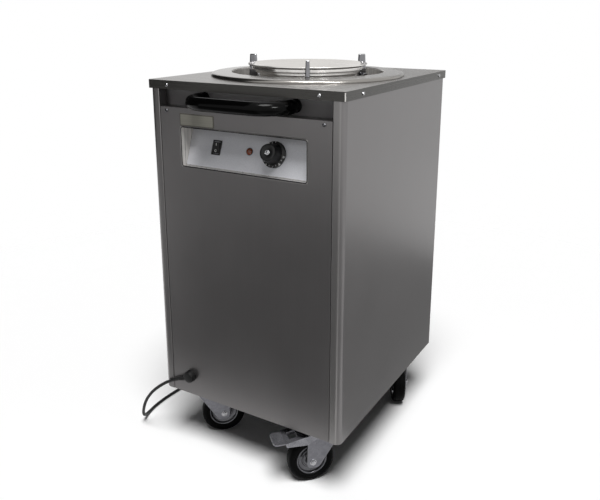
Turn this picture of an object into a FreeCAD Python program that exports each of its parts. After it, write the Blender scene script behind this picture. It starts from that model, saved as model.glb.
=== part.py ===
import FreeCAD, Part
import math
import os
from types import SimpleNamespace

import Sketcher

# Heated plate dispenser on casters. Millimetres, +X right, +Y back, +Z up. The origin is on the
# floor, in the middle of the space that the cabinet and its handle take up.

UP = FreeCAD.Vector(0, 0, 1)
ALONG_X = FreeCAD.Vector(1, 0, 0)
ALONG_Y = FreeCAD.Vector(0, 1, 0)

# Driving dimensions: lengths in millimetres, angles in degrees
SIZES = {
    # Cabinet
    "worktop_width": 450,
    "worktop_depth": 518,
    "worktop_height": 828,
    "worktop_skirt": 17.5,
    "worktop_corner": 3,
    "worktop_overhang": 2,
    "sheet": 1.2,
    "panel_corner": 12,
    "front_return": 23,
    "rear_return": 18,
    "underside_height": 131,
    "front_panel_drop": 53.5,
    "front_panel_setback": 1,
    "front_panel_gap": 0.8,
    "rear_panel_gap": 0.3,
    "rail_setback": 30,
    "rail_sheet": 1.5,
    "rail_lap": 8,
    "rail_flange": 25,
    "base_sheet": 2,
    "base_wall": 25,
    "overrun": 5,
    # Handle
    "handle_reach": 56,
    "handle_centres": 213,
    "handle_radius": 13.5,
    "handle_bend": 30,
    "handle_foot_radius": 17,
    "handle_foot": 4,
    # Control fascia, sloping back towards its top
    "fascia_width": 296,
    "fascia_height": 82,
    "fascia_drop": 91,
    "fascia_sheet": 1.5,
    "fascia_fit": 0.3,
    "fascia_ledge": 11,
    "fascia_tilt": 20,
    # Rocker switch
    "switch_place": -77,
    "switch_width": 22,
    "switch_height": 30,
    "switch_bezel": 2,
    "switch_bezel_border": 2,
    "switch_body": 24,
    "switch_play": 0.4,
    "rocker_width": 15,
    "rocker_height": 23,
    "rocker_front": 4.5,
    "rocker_waist": 2.6,
    "rocker_back": 6,
    "rocker_back_height": 10,
    "rocker_rest_tilt": 6,
    # Indicator lamp
    "lamp_place": 3,
    "lamp_radius": 7.6,
    "lamp_collar": 2,
    "lamp_dome": 6,
    "lamp_lens_radius": 6.8,
    "lamp_stem_radius": 4.5,
    "lamp_stem": 26,
    "lamp_fit": 0.3,
    # Dial knob and the thermostat behind it
    "knob_place": 60,
    "knob_skirt_radius": 26,
    "knob_skirt": 3.5,
    "knob_grip_radius": 19.5,
    "knob_top_radius": 17,
    "knob_height": 27,
    "knob_edge": 1.5,
    "knob_stand_off": 0.5,
    "knob_cap_radius": 5.5,
    "knob_cap_sink": 2.5,
    "knob_cap_crown": 1,
    "shaft_radius": 3,
    "shaft_fit": 0.05,
    "shaft_reach": 20,
    "bush_radius": 5,
    "bush_fit": 0.3,
    "thermostat_radius": 20,
    "thermostat_length": 28,
    # Terminal box and cord gland
    "terminal_width": 70,
    "terminal_depth": 45,
    "terminal_height": 32,
    "gland_inset": 49.2,
    "gland_height": 176,
    "gland_radius": 13,
    "gland_dome": 13,
    "gland_edge": 4,
    "gland_stem_radius": 8,
    "gland_stem": 14,
    "gland_fit": 0.3,
    "gland_nut_radius": 12,
    "gland_nut": 5,
    "sleeve_radius": 6,
    "cord_radius": 3.5,
    # Cord coil and plug
    "coil_radius": 46,
    "coil_pitch": 7.7,
    "plug_length": 44,
    "plug_width": 36,
    "plug_neck_width": 14,
    "plug_thickness": 21,
    "plug_edge": 4,
    "pin_radius": 2.4,
    "pin_length": 19,
    "pin_spacing": 19,
    # Well
    "well_opening_radius": 165,
    "flange_radius": 209.5,
    "flange_sheet": 1.5,
    "flange_crown": 8.5,
    "flange_shoulder": 5.5,
    "flange_roll": 2.5,
    "flange_lip_rise": 4,
    "flange_spigot": 26,
    "spigot_fit": 0.1,
    "tube_sheet": 1,
    "tube_rim": 16,
    "tube_foot_rim": 16,
    "tube_bottom_height": 165,
    "tube_hole_room": 1.4,
    "slot_width": 26,
    "slot_top_drop": 45,
    "slot_bottom_rise": 16,
    "floor_sheet": 2,
    "floor_fit": 0.2,
    "element_ring_radius": 110,
    "element_radius": 4,
    "element_foot_radius": 3,
    "element_foot": 5,
    # Carrier
    "dish_radius": 129.5,
    "dish_rim_height": 25,
    "dish_rim_edge": 1.2,
    "dish_sheet": 3,
    "dish_seat_height": 4.5,
    "dish_rim_width": 17.5,
    "dish_step_width": 24,
    "dish_step_height": 17,
    "dish_corner": 4,
    "stem_radius": 20,
    "stem_plate_radius": 78,
    "stem_plate": 3,
    "hub_radius": 32,
    "spider_drop": 225,
    "arm_thickness": 6,
    "arm_height": 20,
    "arm_pad_radius": 12,
    "arm_pad": 5,
    "plug_stub": 20,
    "spring_room": 0.4,
    "glide_length": 13,
    "glide_width": 40,
    "glide_height": 27,
    "glide_room": 0.8,
    "glide_fit": 0.2,
    # Springs
    "spring_wire_radius": 1.75,
    "spring_radius": 10,
    "spring_turns": 11,
    "spring_clearance": 5,
    "hanger_length": 30,
    "hanger_width": 26,
    "hanger_sheet": 2,
    "hanger_slack": 0.5,
    # Guide posts
    "post_ring_radius": 142.5,
    "post_depth": 20,
    "post_width": 11,
    "post_rise": 40,
    "post_taper": 2.6,
    "post_edge": 4,
    "post_stand_off": 0.3,
    "post_foot_drop": 86,
    "bracket_width": 30,
    "bracket_sheet": 2.5,
    "bracket_wall": 46,
    "bracket_reach": 33,
    "bracket_room": 0.3,
    "screw_head_radius": 7,
    "screw_head": 8,
    "screw_waist_radius": 4.5,
    "screw_waist": 2.5,
    "screw_drop": 9,
    # Casters
    "caster_side_inset": 68,
    "caster_end_inset": 69,
    "caster_plate_length": 100,
    "caster_plate_width": 84,
    "caster_plate": 3,
    "kingpin_radius": 6,
    "kingpin_fit": 0.3,
    "kingpin_nut_radius": 11,
    "kingpin_nut": 5,
    "swivel_gap": 0.3,
    "wheel_radius": 50,
    "wheel_trail": 35,
    "tyre_width": 30,
    "tyre_seat_width": 25,
    "tyre_seat_radius": 33.6,
    "tyre_fit": 0.1,
    "tyre_shoulder": 7,
    "tyre_edge": 3,
    "rim_thickness": 4,
    "web_thickness": 13,
    "boss_radius": 12,
    "axle_radius": 5,
    "axle_fit": 0.06,
    "axle_head_radius": 8.5,
    "axle_head": 5,
    "axle_hole_fit": 0.2,
    "wheel_gap": 0.3,
    "cheek": 2.5,
    "cheek_gap": 19,
    "bridge": 4,
    "fork_front": 27,
    "fork_back": 46,
    "fork_front_drop": 18,
    "fork_eye": 13,
    "fork_corner": 5,
    "pedal_pivot_back": 30,
    "pedal_pivot_drop": 15,
    "pedal_pin_radius": 3,
    "pedal_pin_fit": 0.3,
    "pedal_sheet": 2.5,
    "pedal_room": 0.5,
    "pedal_eye": 8,
    "pedal_eye_corner": 6,
    "pedal_start": 18,
    "pedal_start_rise": 2.7,
    "pedal_reach": 64,
    "pedal_tilt": 9.5,
    "pedal_lip": 9.5,
    "pedal_skirt": 20,
    "pedal_hole_inset": 9,
    "pedal_hole_length": 18,
    "pedal_hole_width": 25,
    "tongue_drop": 1,
    "tongue_reach": 25,
    "tongue_width": 44,
    "tongue_corner": 8,
    "brake_pad_length": 12,
    "brake_pad_width": 26,
    "brake_pad_toe": 10.5,
    "brake_pad_heel": 12.7,
    "caster_angle_fl": -138,
    "caster_angle_fr": 48,
    "caster_angle_rl": 75,
    "caster_angle_rr": 120,
}

# Shares chosen by eye for rounded forms
KNOB_GRIP_START_SHARE = 0.45
LAMP_ROUND_SHARE = 0.35
PLUG_NECK_SHARE = 0.35

POST_ANGLES = (180, 60, -60)
SPRING_ANGLES = (90, 210, 330)
CASTERS = {"fl": (-1, -1), "fr": (1, -1), "rl": (-1, 1), "rr": (1, 1)}
BRAKED = ("fl", "fr")

# Free cord: from the gland, down past the left corner to the floor, and back behind the cabinet.
# Each point is to the right of the gland, behind the front panel's face and above the floor.
CORD_ROUTE = [
    (-22.0, -7.0, 166.5), (-52.0, -8.0, 153.5), (-83.0, -9.5, 132.5), (-112.0, -10.5, 106.0),
    (-134.0, -9.0, 76.0), (-149.0, -4.0, 44.0), (-161.0, 8.0, 17.5), (-173.0, 33.0, 4.8),
    (-182.0, 73.0, 3.8), (-183.0, 128.0, 3.8), (-176.0, 198.0, 3.8), (-161.0, 276.0, 3.8),
    (-139.0, 358.0, 3.8), (-113.0, 434.0, 3.8), (-82.0, 498.0, 3.8), (-36.0, 538.0, 3.8),
    (18.0, 555.0, 3.8),
]
CORD_ARC_SHARE = 0.45

# From the coil to the plug: steps along the way that the coil ends, and to its outer side
CORD_TAIL_STEPS = [(0.0, 0.0), (26.0, 0.0), (54.0, 7.0), (82.0, 21.0), (104.0, 40.0)]


class Size:
    """A number from the sheet: its value now and the expression that keeps it bound."""

    def __init__(self, value, text):
        self.value = value
        self.text = text

    def __add__(self, other):
        return Size(self.value + value_of(other), f"({self.text} + {text_of(other)})")

    def __sub__(self, other):
        return Size(self.value - value_of(other), f"({self.text} - {text_of(other)})")

    def __rsub__(self, other):
        return Size(value_of(other) - self.value, f"({text_of(other)} - {self.text})")

    def __mul__(self, other):
        return Size(self.value * value_of(other), f"({self.text} * {text_of(other)})")

    def __truediv__(self, other):
        return Size(self.value / value_of(other), f"({self.text} / {text_of(other)})")

    def __neg__(self):
        return Size(-self.value, f"(0 - {self.text})")

    __radd__ = __add__
    __rmul__ = __mul__


def value_of(size):
    return size.value if isinstance(size, Size) else float(size)


def text_of(size):
    return size.text if isinstance(size, Size) else repr(float(size))


def cosine(angle):
    return Size(math.cos(math.radians(value_of(angle))), f"cos({text_of(angle)} * 1 deg)")


def sine(angle):
    return Size(math.sin(math.radians(value_of(angle))), f"sin({text_of(angle)} * 1 deg)")


def tangent(angle):
    return Size(math.tan(math.radians(value_of(angle))), f"tan({text_of(angle)} * 1 deg)")


doc = FreeCAD.newDocument("PlateDispenser")
sheet = doc.addObject("Spreadsheet::Sheet", "Sizes")
for row, (alias, number) in enumerate(SIZES.items(), start=1):
    sheet.set(f"A{row}", alias)
    sheet.set(f"B{row}", str(number))
    sheet.setAlias(f"B{row}", alias)
doc.recompute()
S = SimpleNamespace(**{alias: Size(float(sheet.get(alias)), f"Sizes.{alias}") for alias in SIZES})

nodes = []


def node(label, item):
    """Names a finished sub-part and keeps it for export."""
    item.Label = label
    nodes.append(item)
    return item


def bind(item, prop, size):
    """Ties one property to the sheet."""
    if isinstance(size, Size):
        item.setExpression(prop, size.text)


def locate(item, x=0, y=0, z=0, turn=0, axis=UP):
    """Places an item, with each coordinate and its turn tied to the sheet."""
    base = FreeCAD.Vector(value_of(x), value_of(y), value_of(z))
    item.Placement = FreeCAD.Placement(base, FreeCAD.Rotation(axis, value_of(turn)))
    for letter, size in zip("xyz", (x, y, z)):
        bind(item, f"Placement.Base.{letter}", size)
    bind(item, "Placement.Rotation.Angle", turn)
    return item


def box(x, y, z, length, width, height):
    """A block from its low corner."""
    item = doc.addObject("Part::Box", "Block")
    bind(item, "Length", length)
    bind(item, "Width", width)
    bind(item, "Height", height)
    return locate(item, x, y, z)


def rod(x, y, z, radius, length, axis=UP):
    """A cylinder from the middle of one end, along X, Y or Z."""
    item = doc.addObject("Part::Cylinder", "Rod")
    bind(item, "Radius", radius)
    bind(item, "Height", length)
    if axis == ALONG_X:
        return locate(item, x, y, z, 90, ALONG_Y)
    if axis == ALONG_Y:
        return locate(item, x, y, z, -90, ALONG_X)
    return locate(item, x, y, z)


def fuse(items):
    item = doc.addObject("Part::MultiFuse", "Joined")
    item.Shapes = items
    return item


def cut(base, tools):
    item = doc.addObject("Part::Cut", "Trimmed")
    item.Base = base
    item.Tool = tools[0] if len(tools) == 1 else fuse(tools)
    return item


def group(items):
    item = doc.addObject("Part::Compound", "Set")
    item.Links = items
    return item


def body():
    return doc.addObject("PartDesign::Body", "Body")


def plane_of(owner, role):
    return next(part for part in owner.Origin.OriginFeatures if part.Role == role)


def pin_point(sketch, geometry, position, x, y):
    """Holds a sketch point at x and y, each tied to the sheet, or on an axis where it is zero."""
    for kind, size, axis in (("DistanceX", x, -2), ("DistanceY", y, -1)):
        if value_of(size) == 0:
            sketch.addConstraint(Sketcher.Constraint("PointOnObject", geometry, position, axis))
        else:
            index = sketch.addConstraint(
                Sketcher.Constraint(kind, -1, 1, geometry, position, value_of(size)))
            bind(sketch, f"Constraints[{index}]", size)


def new_sketch(owner, role):
    sketch = owner.newObject("Sketcher::SketchObject", "Sketch")
    sketch.AttachmentSupport = [(plane_of(owner, role), "")]
    sketch.MapMode = "FlatFace"
    return sketch


def outline(owner, corners, role="XY_Plane"):
    """A closed sketch through corners (x, y) or (x, y, radius); a radius rounds its corner."""
    sketch = new_sketch(owner, role)
    spots = [FreeCAD.Vector(value_of(c[0]), value_of(c[1]), 0) for c in corners]
    count = len(corners)
    starts, ends, arcs = [], [], {}
    for i, corner in enumerate(corners):
        here = spots[i]
        if len(corner) < 3:
            starts.append(here)
            ends.append(here)
            continue
        back = (spots[i - 1] - here).normalize()
        ahead = (spots[(i + 1) % count] - here).normalize()
        half = back.getAngle(ahead) / 2
        radius = value_of(corner[2])
        reach = radius / math.tan(half)
        middle = here + (back + ahead).normalize() * (radius / math.sin(half))
        ends.append(here + back * reach)
        starts.append(here + ahead * reach)
        near = middle + (here - middle).normalize() * radius
        arcs[i] = Part.Arc(ends[i], near, starts[i])
    lines = [sketch.addGeometry(Part.LineSegment(starts[i], ends[(i + 1) % count]), False)
             for i in range(count)]
    for i, corner in enumerate(corners):
        before, after = lines[i - 1], lines[i]
        if i not in arcs:
            sketch.addConstraint(Sketcher.Constraint("Coincident", before, 2, after, 1))
            pin_point(sketch, after, 1, corner[0], corner[1])
            continue
        arc = sketch.addGeometry(arcs[i], False)
        first = sketch.getPoint(arc, 1).distanceToPoint(ends[i])
        second = sketch.getPoint(arc, 1).distanceToPoint(starts[i])
        near_end, far_end = (1, 2) if first < second else (2, 1)
        sketch.addConstraint(Sketcher.Constraint("Tangent", before, 2, arc, near_end))
        sketch.addConstraint(Sketcher.Constraint("Tangent", arc, far_end, after, 1))
        index = sketch.addConstraint(Sketcher.Constraint("Radius", arc, value_of(corner[2])))
        bind(sketch, f"Constraints[{index}]", corner[2])
        spot = sketch.addGeometry(Part.Point(spots[i]), True)
        sketch.addConstraint(Sketcher.Constraint("PointOnObject", spot, 1, before))
        sketch.addConstraint(Sketcher.Constraint("PointOnObject", spot, 1, after))
        pin_point(sketch, spot, 1, corner[0], corner[1])
    return sketch


def ring_outline(owner, x, y, radius, role="XY_Plane"):
    """A sketch of one circle."""
    sketch = new_sketch(owner, role)
    middle = FreeCAD.Vector(value_of(x), value_of(y), 0)
    circle = sketch.addGeometry(Part.Circle(middle, UP, value_of(radius)), False)
    pin_point(sketch, circle, 3, x, y)
    index = sketch.addConstraint(Sketcher.Constraint("Radius", circle, value_of(radius)))
    bind(sketch, f"Constraints[{index}]", radius)
    return sketch


def pad(owner, sketch, length, both=False, reverse=False):
    item = owner.newObject("PartDesign::Pad", "Pad")
    item.Profile = sketch
    item.SideType = "Symmetric" if both else "One side"
    item.Reversed = reverse
    bind(item, "Length", length)
    return item


def pocket(owner, sketch, length, both=False, reverse=False):
    item = owner.newObject("PartDesign::Pocket", "Pocket")
    item.Profile = sketch
    item.SideType = "Symmetric" if both else "One side"
    item.Reversed = reverse
    bind(item, "Length", length)
    return item


def turned(corners, role="XZ_Plane"):
    """A turned piece: radius and height pairs spun about the sketch's upright axis."""
    owner = body()
    sketch = outline(owner, corners, role)
    spin = owner.newObject("PartDesign::Revolution", "Revolution")
    spin.Profile = sketch
    spin.ReferenceAxis = (sketch, ["V_Axis"])
    spin.Angle = 360
    return owner


# Planes that many pieces share
centre_y = S.handle_reach / 2
front_edge = centre_y - S.worktop_depth / 2
back_edge = centre_y + S.worktop_depth / 2
panel_front = front_edge + S.worktop_overhang
panel_back = back_edge - S.worktop_overhang
panel_side = S.worktop_width / 2 - S.worktop_overhang
inner_side = panel_side - S.sheet
front_half_width = panel_side - S.front_return - S.front_panel_gap
gland_x = S.gland_inset - front_half_width
caster_side = S.worktop_width / 2 - S.caster_side_inset
caster_fore = S.worktop_depth / 2 - S.caster_end_inset
front_face = panel_front + S.front_panel_setback
front_top = S.worktop_height - S.front_panel_drop
rail_face = panel_front + S.rail_setback
worktop_under = S.worktop_height - S.sheet
tube_inner = S.well_opening_radius + S.flange_sheet + S.spigot_fit
tube_outer = tube_inner + S.tube_sheet
spring_ring = tube_outer + S.spring_radius + S.spring_wire_radius + S.spring_clearance
fascia_top = S.worktop_height - S.fascia_drop
fascia_bottom = fascia_top - S.fascia_height


def worktop():
    owner = body()
    half_width = S.worktop_width / 2
    corners = ((-1, front_edge), (1, front_edge), (1, back_edge), (-1, back_edge))
    pad(owner, outline(owner, [(half_width * side, y, S.worktop_corner) for side, y in corners]),
        S.worktop_skirt)
    room = half_width - S.sheet
    inner_corners = ((-1, front_edge + S.sheet), (1, front_edge + S.sheet),
                     (1, back_edge - S.sheet), (-1, back_edge - S.sheet))
    inner_radius = S.worktop_corner - S.sheet
    inside = outline(owner, [(room * side, y, inner_radius) for side, y in inner_corners])
    pocket(owner, inside, S.worktop_skirt - S.sheet, reverse=True)
    hole = ring_outline(owner, 0, centre_y, tube_outer + S.tube_hole_room)
    pocket(owner, hole, S.worktop_skirt + S.overrun, reverse=True)
    node("worktop", locate(owner, z=S.worktop_height - S.worktop_skirt))


def side_panel(label, side):
    """A side panel that wraps round the front and back with rounded corners."""
    owner = body()
    inner_radius = S.panel_corner - S.sheet
    front_end = (panel_side - S.front_return) * side
    rear_end = (panel_side - S.rear_return) * side
    skin = outline(owner, [
        (front_end, panel_front), (panel_side * side, panel_front, S.panel_corner),
        (panel_side * side, panel_back, S.panel_corner), (rear_end, panel_back),
        (rear_end, panel_back - S.sheet), (inner_side * side, panel_back - S.sheet, inner_radius),
        (inner_side * side, panel_front + S.sheet, inner_radius), (front_end, panel_front + S.sheet)])
    pad(owner, skin, worktop_under - S.underside_height)
    node(label, locate(owner, z=S.underside_height))


def front_panel():
    """A folded tray with its open side back, cut out for the fascia and the gland."""
    half_width = front_half_width
    height = front_top - S.underside_height
    depth = rail_face - front_face
    tray = box(-half_width, front_face, S.underside_height, half_width * 2, depth, height)
    inside = box(S.sheet - half_width, front_face + S.sheet, S.underside_height + S.sheet,
                 half_width * 2 - S.sheet * 2, depth, height - S.sheet * 2)
    window = box(-S.fascia_width / 2 - S.fascia_fit, front_face - S.overrun,
                 fascia_bottom - S.fascia_fit, S.fascia_width + S.fascia_fit * 2, S.overrun * 2,
                 S.fascia_height + S.fascia_fit * 2)
    gland_hole = rod(gland_x, front_face - S.overrun, S.gland_height,
                     S.gland_stem_radius + S.gland_fit, S.overrun * 2, ALONG_Y)
    node("front_panel", cut(tray, [inside, window, gland_hole]))


def rear_panel():
    half_width = panel_side - S.panel_corner - S.rear_panel_gap
    node("rear_panel", box(-half_width, panel_back - S.sheet * 2, S.underside_height,
                           half_width * 2, S.sheet, worktop_under - S.underside_height))


def front_rail():
    """A channel across the front, sunk behind the panel, which carries the handle."""
    low = front_top - S.rail_lap
    height = worktop_under - low
    solid = box(-inner_side, rail_face, low, inner_side * 2, S.rail_flange, height)
    inside = box(-inner_side - S.overrun, rail_face + S.rail_sheet, low + S.rail_sheet,
                 (inner_side + S.overrun) * 2, S.rail_flange, height - S.rail_sheet * 2)
    node("front_rail", cut(solid, [inside]))


def base_pan():
    front = rail_face
    depth = panel_back - S.panel_corner - front
    solid = box(-inner_side, front, S.underside_height, inner_side * 2, depth, S.base_wall)
    room = inner_side - S.base_sheet
    inside = box(-room, front + S.base_sheet, S.underside_height + S.base_sheet, room * 2,
                 depth - S.base_sheet * 2, S.base_wall)
    node("base_pan", cut(solid, [inside]))


def handle():
    """A round bow: two legs from the rail, two quarter bends and the bar between them."""
    half = S.handle_centres / 2
    bar_y = front_edge - S.handle_reach + S.handle_radius
    bend_y = bar_y + S.handle_bend
    height = (front_top + S.worktop_height - S.worktop_skirt) / 2
    pieces = []
    for side, start in ((-1, 180), (1, 270)):
        leg_x = half * side
        pieces.append(rod(leg_x, bend_y, height, S.handle_radius, rail_face - bend_y, ALONG_Y))
        pieces.append(rod(leg_x, rail_face - S.handle_foot, height, S.handle_foot_radius,
                          S.handle_foot, ALONG_Y))
        bend = doc.addObject("Part::Torus", "Bend")
        bind(bend, "Radius1", S.handle_bend)
        bind(bend, "Radius2", S.handle_radius)
        bend.Angle3 = 90
        pieces.append(locate(bend, (half - S.handle_bend) * side, bend_y, height, start))
    bar_half = half - S.handle_bend
    pieces.append(rod(-bar_half, bar_y, height, S.handle_radius, bar_half * 2, ALONG_X))
    node("handle_bow", fuse(pieces))


# The sloping plate of the fascia: its middle, and how far its skin is from the front face there
plate_depth = S.fascia_ledge + S.fascia_height / 2 * tangent(S.fascia_tilt)
plate_y = front_face + plate_depth
plate_z = fascia_bottom + S.fascia_height / 2


def on_plate(item, x):
    """Sets a piece, built with its outer side towards -Y, square on the sloping plate."""
    return locate(item, x, plate_y, plate_z, -S.fascia_tilt, ALONG_X)


def control_fascia():
    """A sunk tray whose plate slopes back, with holes for the three controls."""
    owner = body()
    slope = S.fascia_height * tangent(S.fascia_tilt)
    skin = S.fascia_sheet / cosine(S.fascia_tilt)
    shell = outline(owner, [
        (0, 0), (S.fascia_ledge + skin, 0), (S.fascia_ledge + skin + slope, S.fascia_height),
        (0, S.fascia_height)], "YZ_Plane")
    pad(owner, shell, S.fascia_width, both=True)
    low_y = S.fascia_ledge + S.fascia_sheet * tangent(S.fascia_tilt)
    high_z = S.fascia_height - S.fascia_sheet
    high_y = S.fascia_ledge + high_z * tangent(S.fascia_tilt)
    room = outline(owner, [
        (-S.overrun, S.fascia_sheet), (low_y, S.fascia_sheet), (high_y, high_z),
        (-S.overrun, high_z)], "YZ_Plane")
    pocket(owner, room, S.fascia_width - S.fascia_sheet * 2, both=True)
    locate(owner, 0, front_face, fascia_bottom)
    through = S.fascia_sheet + S.overrun * 2
    switch_x = S.switch_width / 2 - S.switch_bezel_border
    switch_z = S.switch_height / 2 - S.switch_bezel_border
    holes = fuse([
        box(S.switch_place - switch_x, -S.overrun, -switch_z, switch_x * 2, through, switch_z * 2),
        rod(S.lamp_place, -S.overrun, 0, S.lamp_stem_radius + S.lamp_fit, through, ALONG_Y),
        rod(S.knob_place, -S.overrun, 0, S.bush_radius + S.bush_fit, through, ALONG_Y)])
    node("control_fascia", cut(owner, [on_plate(holes, 0)]))


def switch():
    """A rocker in a bezelled housing; the rocker rests with its lower end pressed."""
    half_x = S.switch_width / 2
    half_z = S.switch_height / 2
    neck_x = half_x - S.switch_bezel_border - S.fascia_fit
    neck_z = half_z - S.switch_bezel_border - S.fascia_fit
    bezel = box(-half_x, -S.switch_bezel, -half_z, S.switch_width, S.switch_bezel, S.switch_height)
    rear = box(-neck_x, 0, -neck_z, neck_x * 2, S.switch_body, neck_z * 2)
    well_x = S.rocker_width / 2 + S.switch_play
    well_z = S.rocker_height / 2 + S.switch_play * 2
    well = box(-well_x, -S.switch_bezel - S.overrun, -well_z, well_x * 2,
               S.switch_bezel + S.overrun + S.rocker_back + S.switch_play * 2, well_z * 2)
    node("switch_housing", on_plate(cut(fuse([bezel, rear]), [well]), S.switch_place))
    owner = body()
    half = S.rocker_height / 2
    tail = S.rocker_back_height / 2
    rock = outline(owner, [
        (-S.rocker_front, -half), (-S.rocker_waist, 0), (-S.rocker_front, half), (0, half),
        (S.rocker_back, tail), (S.rocker_back, -tail), (0, -half)], "YZ_Plane")
    pad(owner, rock, S.rocker_width, both=True)
    tilt = S.rocker_rest_tilt - S.fascia_tilt
    node("switch_rocker", locate(owner, S.switch_place, plate_y, plate_z, tilt, ALONG_X))


def lamp():
    """A domed lens in a collar, with its stem through the plate."""
    owner = turned([
        (0, -S.lamp_stem), (S.lamp_stem_radius, -S.lamp_stem), (S.lamp_stem_radius, 0),
        (S.lamp_radius, 0), (S.lamp_radius, S.lamp_collar), (S.lamp_lens_radius, S.lamp_collar),
        (S.lamp_lens_radius, S.lamp_dome, S.lamp_lens_radius * LAMP_ROUND_SHARE), (0, S.lamp_dome)])
    locate(owner, 0, 0, 0, 90, ALONG_X)
    node("indicator_lamp", on_plate(group([owner]), S.lamp_place))


def knob():
    """A skirted dial on its shaft, a bright cap in its face, and the thermostat that it sets."""
    grip = S.knob_skirt + (S.knob_height - S.knob_skirt) * KNOB_GRIP_START_SHARE
    face = S.knob_stand_off + S.knob_height
    dial = turned([
        (0, -S.shaft_reach), (S.shaft_radius, -S.shaft_reach), (S.shaft_radius, S.knob_stand_off),
        (S.knob_skirt_radius, S.knob_stand_off),
        (S.knob_skirt_radius, S.knob_stand_off + S.knob_skirt, S.knob_edge),
        (S.knob_grip_radius, grip), (S.knob_top_radius, face, S.knob_edge),
        (S.knob_cap_radius, face), (S.knob_cap_radius, face - S.knob_cap_sink),
        (0, face - S.knob_cap_sink)])
    locate(dial, 0, 0, 0, 90, ALONG_X)
    node("knob", on_plate(group([dial]), S.knob_place))
    cap_radius = S.knob_cap_radius - S.shaft_fit
    cap = turned([
        (0, face - S.knob_cap_sink), (cap_radius, face - S.knob_cap_sink),
        (cap_radius, face), (0, face + S.knob_cap_crown)])
    locate(cap, 0, 0, 0, 90, ALONG_X)
    node("knob_cap", on_plate(group([cap]), S.knob_place))
    bore = S.shaft_radius + S.shaft_fit
    rear = -S.fascia_sheet
    case = turned([
        (bore, 0), (S.bush_radius, 0), (S.bush_radius, rear), (S.thermostat_radius, rear),
        (S.thermostat_radius, rear - S.thermostat_length), (bore, rear - S.thermostat_length)])
    locate(case, 0, 0, 0, 90, ALONG_X)
    node("thermostat_body", on_plate(group([case]), S.knob_place))


def terminal_box():
    node("terminal_box", box(gland_x - S.terminal_width / 2, rail_face + S.base_sheet,
                             S.underside_height + S.base_sheet, S.terminal_width,
                             S.terminal_depth, S.terminal_height))


cord_route = [FreeCAD.Vector(gland_x.value + right, front_face.value + back, high)
              for right, back, high in CORD_ROUTE]


def cord_gland():
    """A round boss on the front panel with a sleeve to the side, which the lead leaves."""
    boss = turned([
        (0, -S.gland_stem), (S.gland_nut_radius, -S.gland_stem),
        (S.gland_nut_radius, S.gland_nut - S.gland_stem),
        (S.gland_stem_radius, S.gland_nut - S.gland_stem), (S.gland_stem_radius, 0),
        (S.gland_radius, 0), (S.gland_radius, S.gland_dome, S.gland_edge), (0, S.gland_dome)])
    locate(boss, gland_x, front_face, S.gland_height, 90, ALONG_X)
    exit_point = cord_route[0]
    middle = FreeCAD.Vector(gland_x.value, exit_point.y, S.gland_height.value)
    run = cord_route[1] - exit_point
    reach = (exit_point - middle).dot(run) / run.Length
    sleeve = doc.addObject("Part::Feature", "Sleeve")
    start = exit_point - run * (reach / run.Length)
    sleeve.Shape = Part.makeCylinder(S.sleeve_radius.value, reach, start, run)
    node("cord_gland", fuse([boss, sleeve]))


def round_wire(points):
    """Straight runs joined by tangent arcs, as large as the two runs allow. Returns wire and radii."""
    edges, radii = [], []
    here = points[0]
    for before, corner, after in zip(points, points[1:], points[2:]):
        back = (before - corner).normalize()
        ahead = (after - corner).normalize()
        reach = CORD_ARC_SHARE * min((before - corner).Length, (after - corner).Length)
        half = back.getAngle(ahead) / 2
        radius = reach * math.tan(half)
        middle = corner + (back + ahead).normalize() * (radius / math.sin(half))
        entry, leave = corner + back * reach, corner + ahead * reach
        near = middle + (corner - middle).normalize() * radius
        edges.append(Part.LineSegment(here, entry).toShape())
        edges.append(Part.Arc(entry, near, leave).toShape())
        radii.append(radius)
        here = leave
    edges.append(Part.LineSegment(here, points[-1]).toShape())
    return Part.Wire(edges), radii


def tube_along(path, radius):
    """A solid tube of one radius along a wire."""
    first = path.OrderedEdges[0]
    start = first.valueAt(first.FirstParameter)
    heading = first.tangentAt(first.FirstParameter)
    ring = Part.Wire([Part.makeCircle(radius, start, heading)])
    shell = Part.BRepOffsetAPI.MakePipeShell(path)
    shell.add(ring)
    shell.build()
    shell.makeSolid()
    return shell.shape()


def biarc(start, start_heading, end, end_heading):
    """Two tangent arcs that leave one point and reach another along given headings."""
    span = end - start
    both = start_heading + end_heading
    bend = 2 * (1 - start_heading.dot(end_heading))
    along = span.dot(both)
    reach = (math.sqrt(along * along + bend * span.dot(span)) - along) / bend
    first = start + start_heading * reach
    second = end - end_heading * reach
    joint = (first + second) * 0.5
    edges = []
    for a, knee, b in ((start, first, joint), (joint, second, end)):
        chord = (a + b) * 0.5
        half = (b - a).Length / 2
        angle = math.acos(min(1, half / reach))
        near = chord + (knee - chord).normalize() * (half * math.tan(angle / 2))
        edges.append(Part.Arc(a, near, b).toShape())
    return edges


def wound_tube(points, headings, radius, ends):
    """One unbroken tube through points with headings, with straight ends of a given length."""
    edges = []
    if ends:
        edges.append(Part.LineSegment(points[0] - headings[0] * ends, points[0]).toShape())
    for i in range(len(points) - 1):
        edges += biarc(points[i], headings[i], points[i + 1], headings[i + 1])
    if ends:
        edges.append(Part.LineSegment(points[-1], points[-1] + headings[-1] * ends).toShape())
    path = Part.Wire(edges)
    return tube_along(path, radius), path


def self_gap(path, radius, neighbour_length):
    """Least gap of a wound tube to itself, on points, leaving out what lies next along it."""
    step = radius
    count = int(path.Length / step)
    points = path.discretize(count)
    skip = int(neighbour_length / step)
    least = min((points[i] - points[j]).Length
                for i in range(count) for j in range(i + skip, count))
    return least - 2 * radius


def report_volume(label, shape, path, radius):
    expected = math.pi * radius * radius * path.Length
    print(f"{label}: length {path.Length:.1f} mm, volume {shape.Volume / expected:.4f} of section x length")


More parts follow.
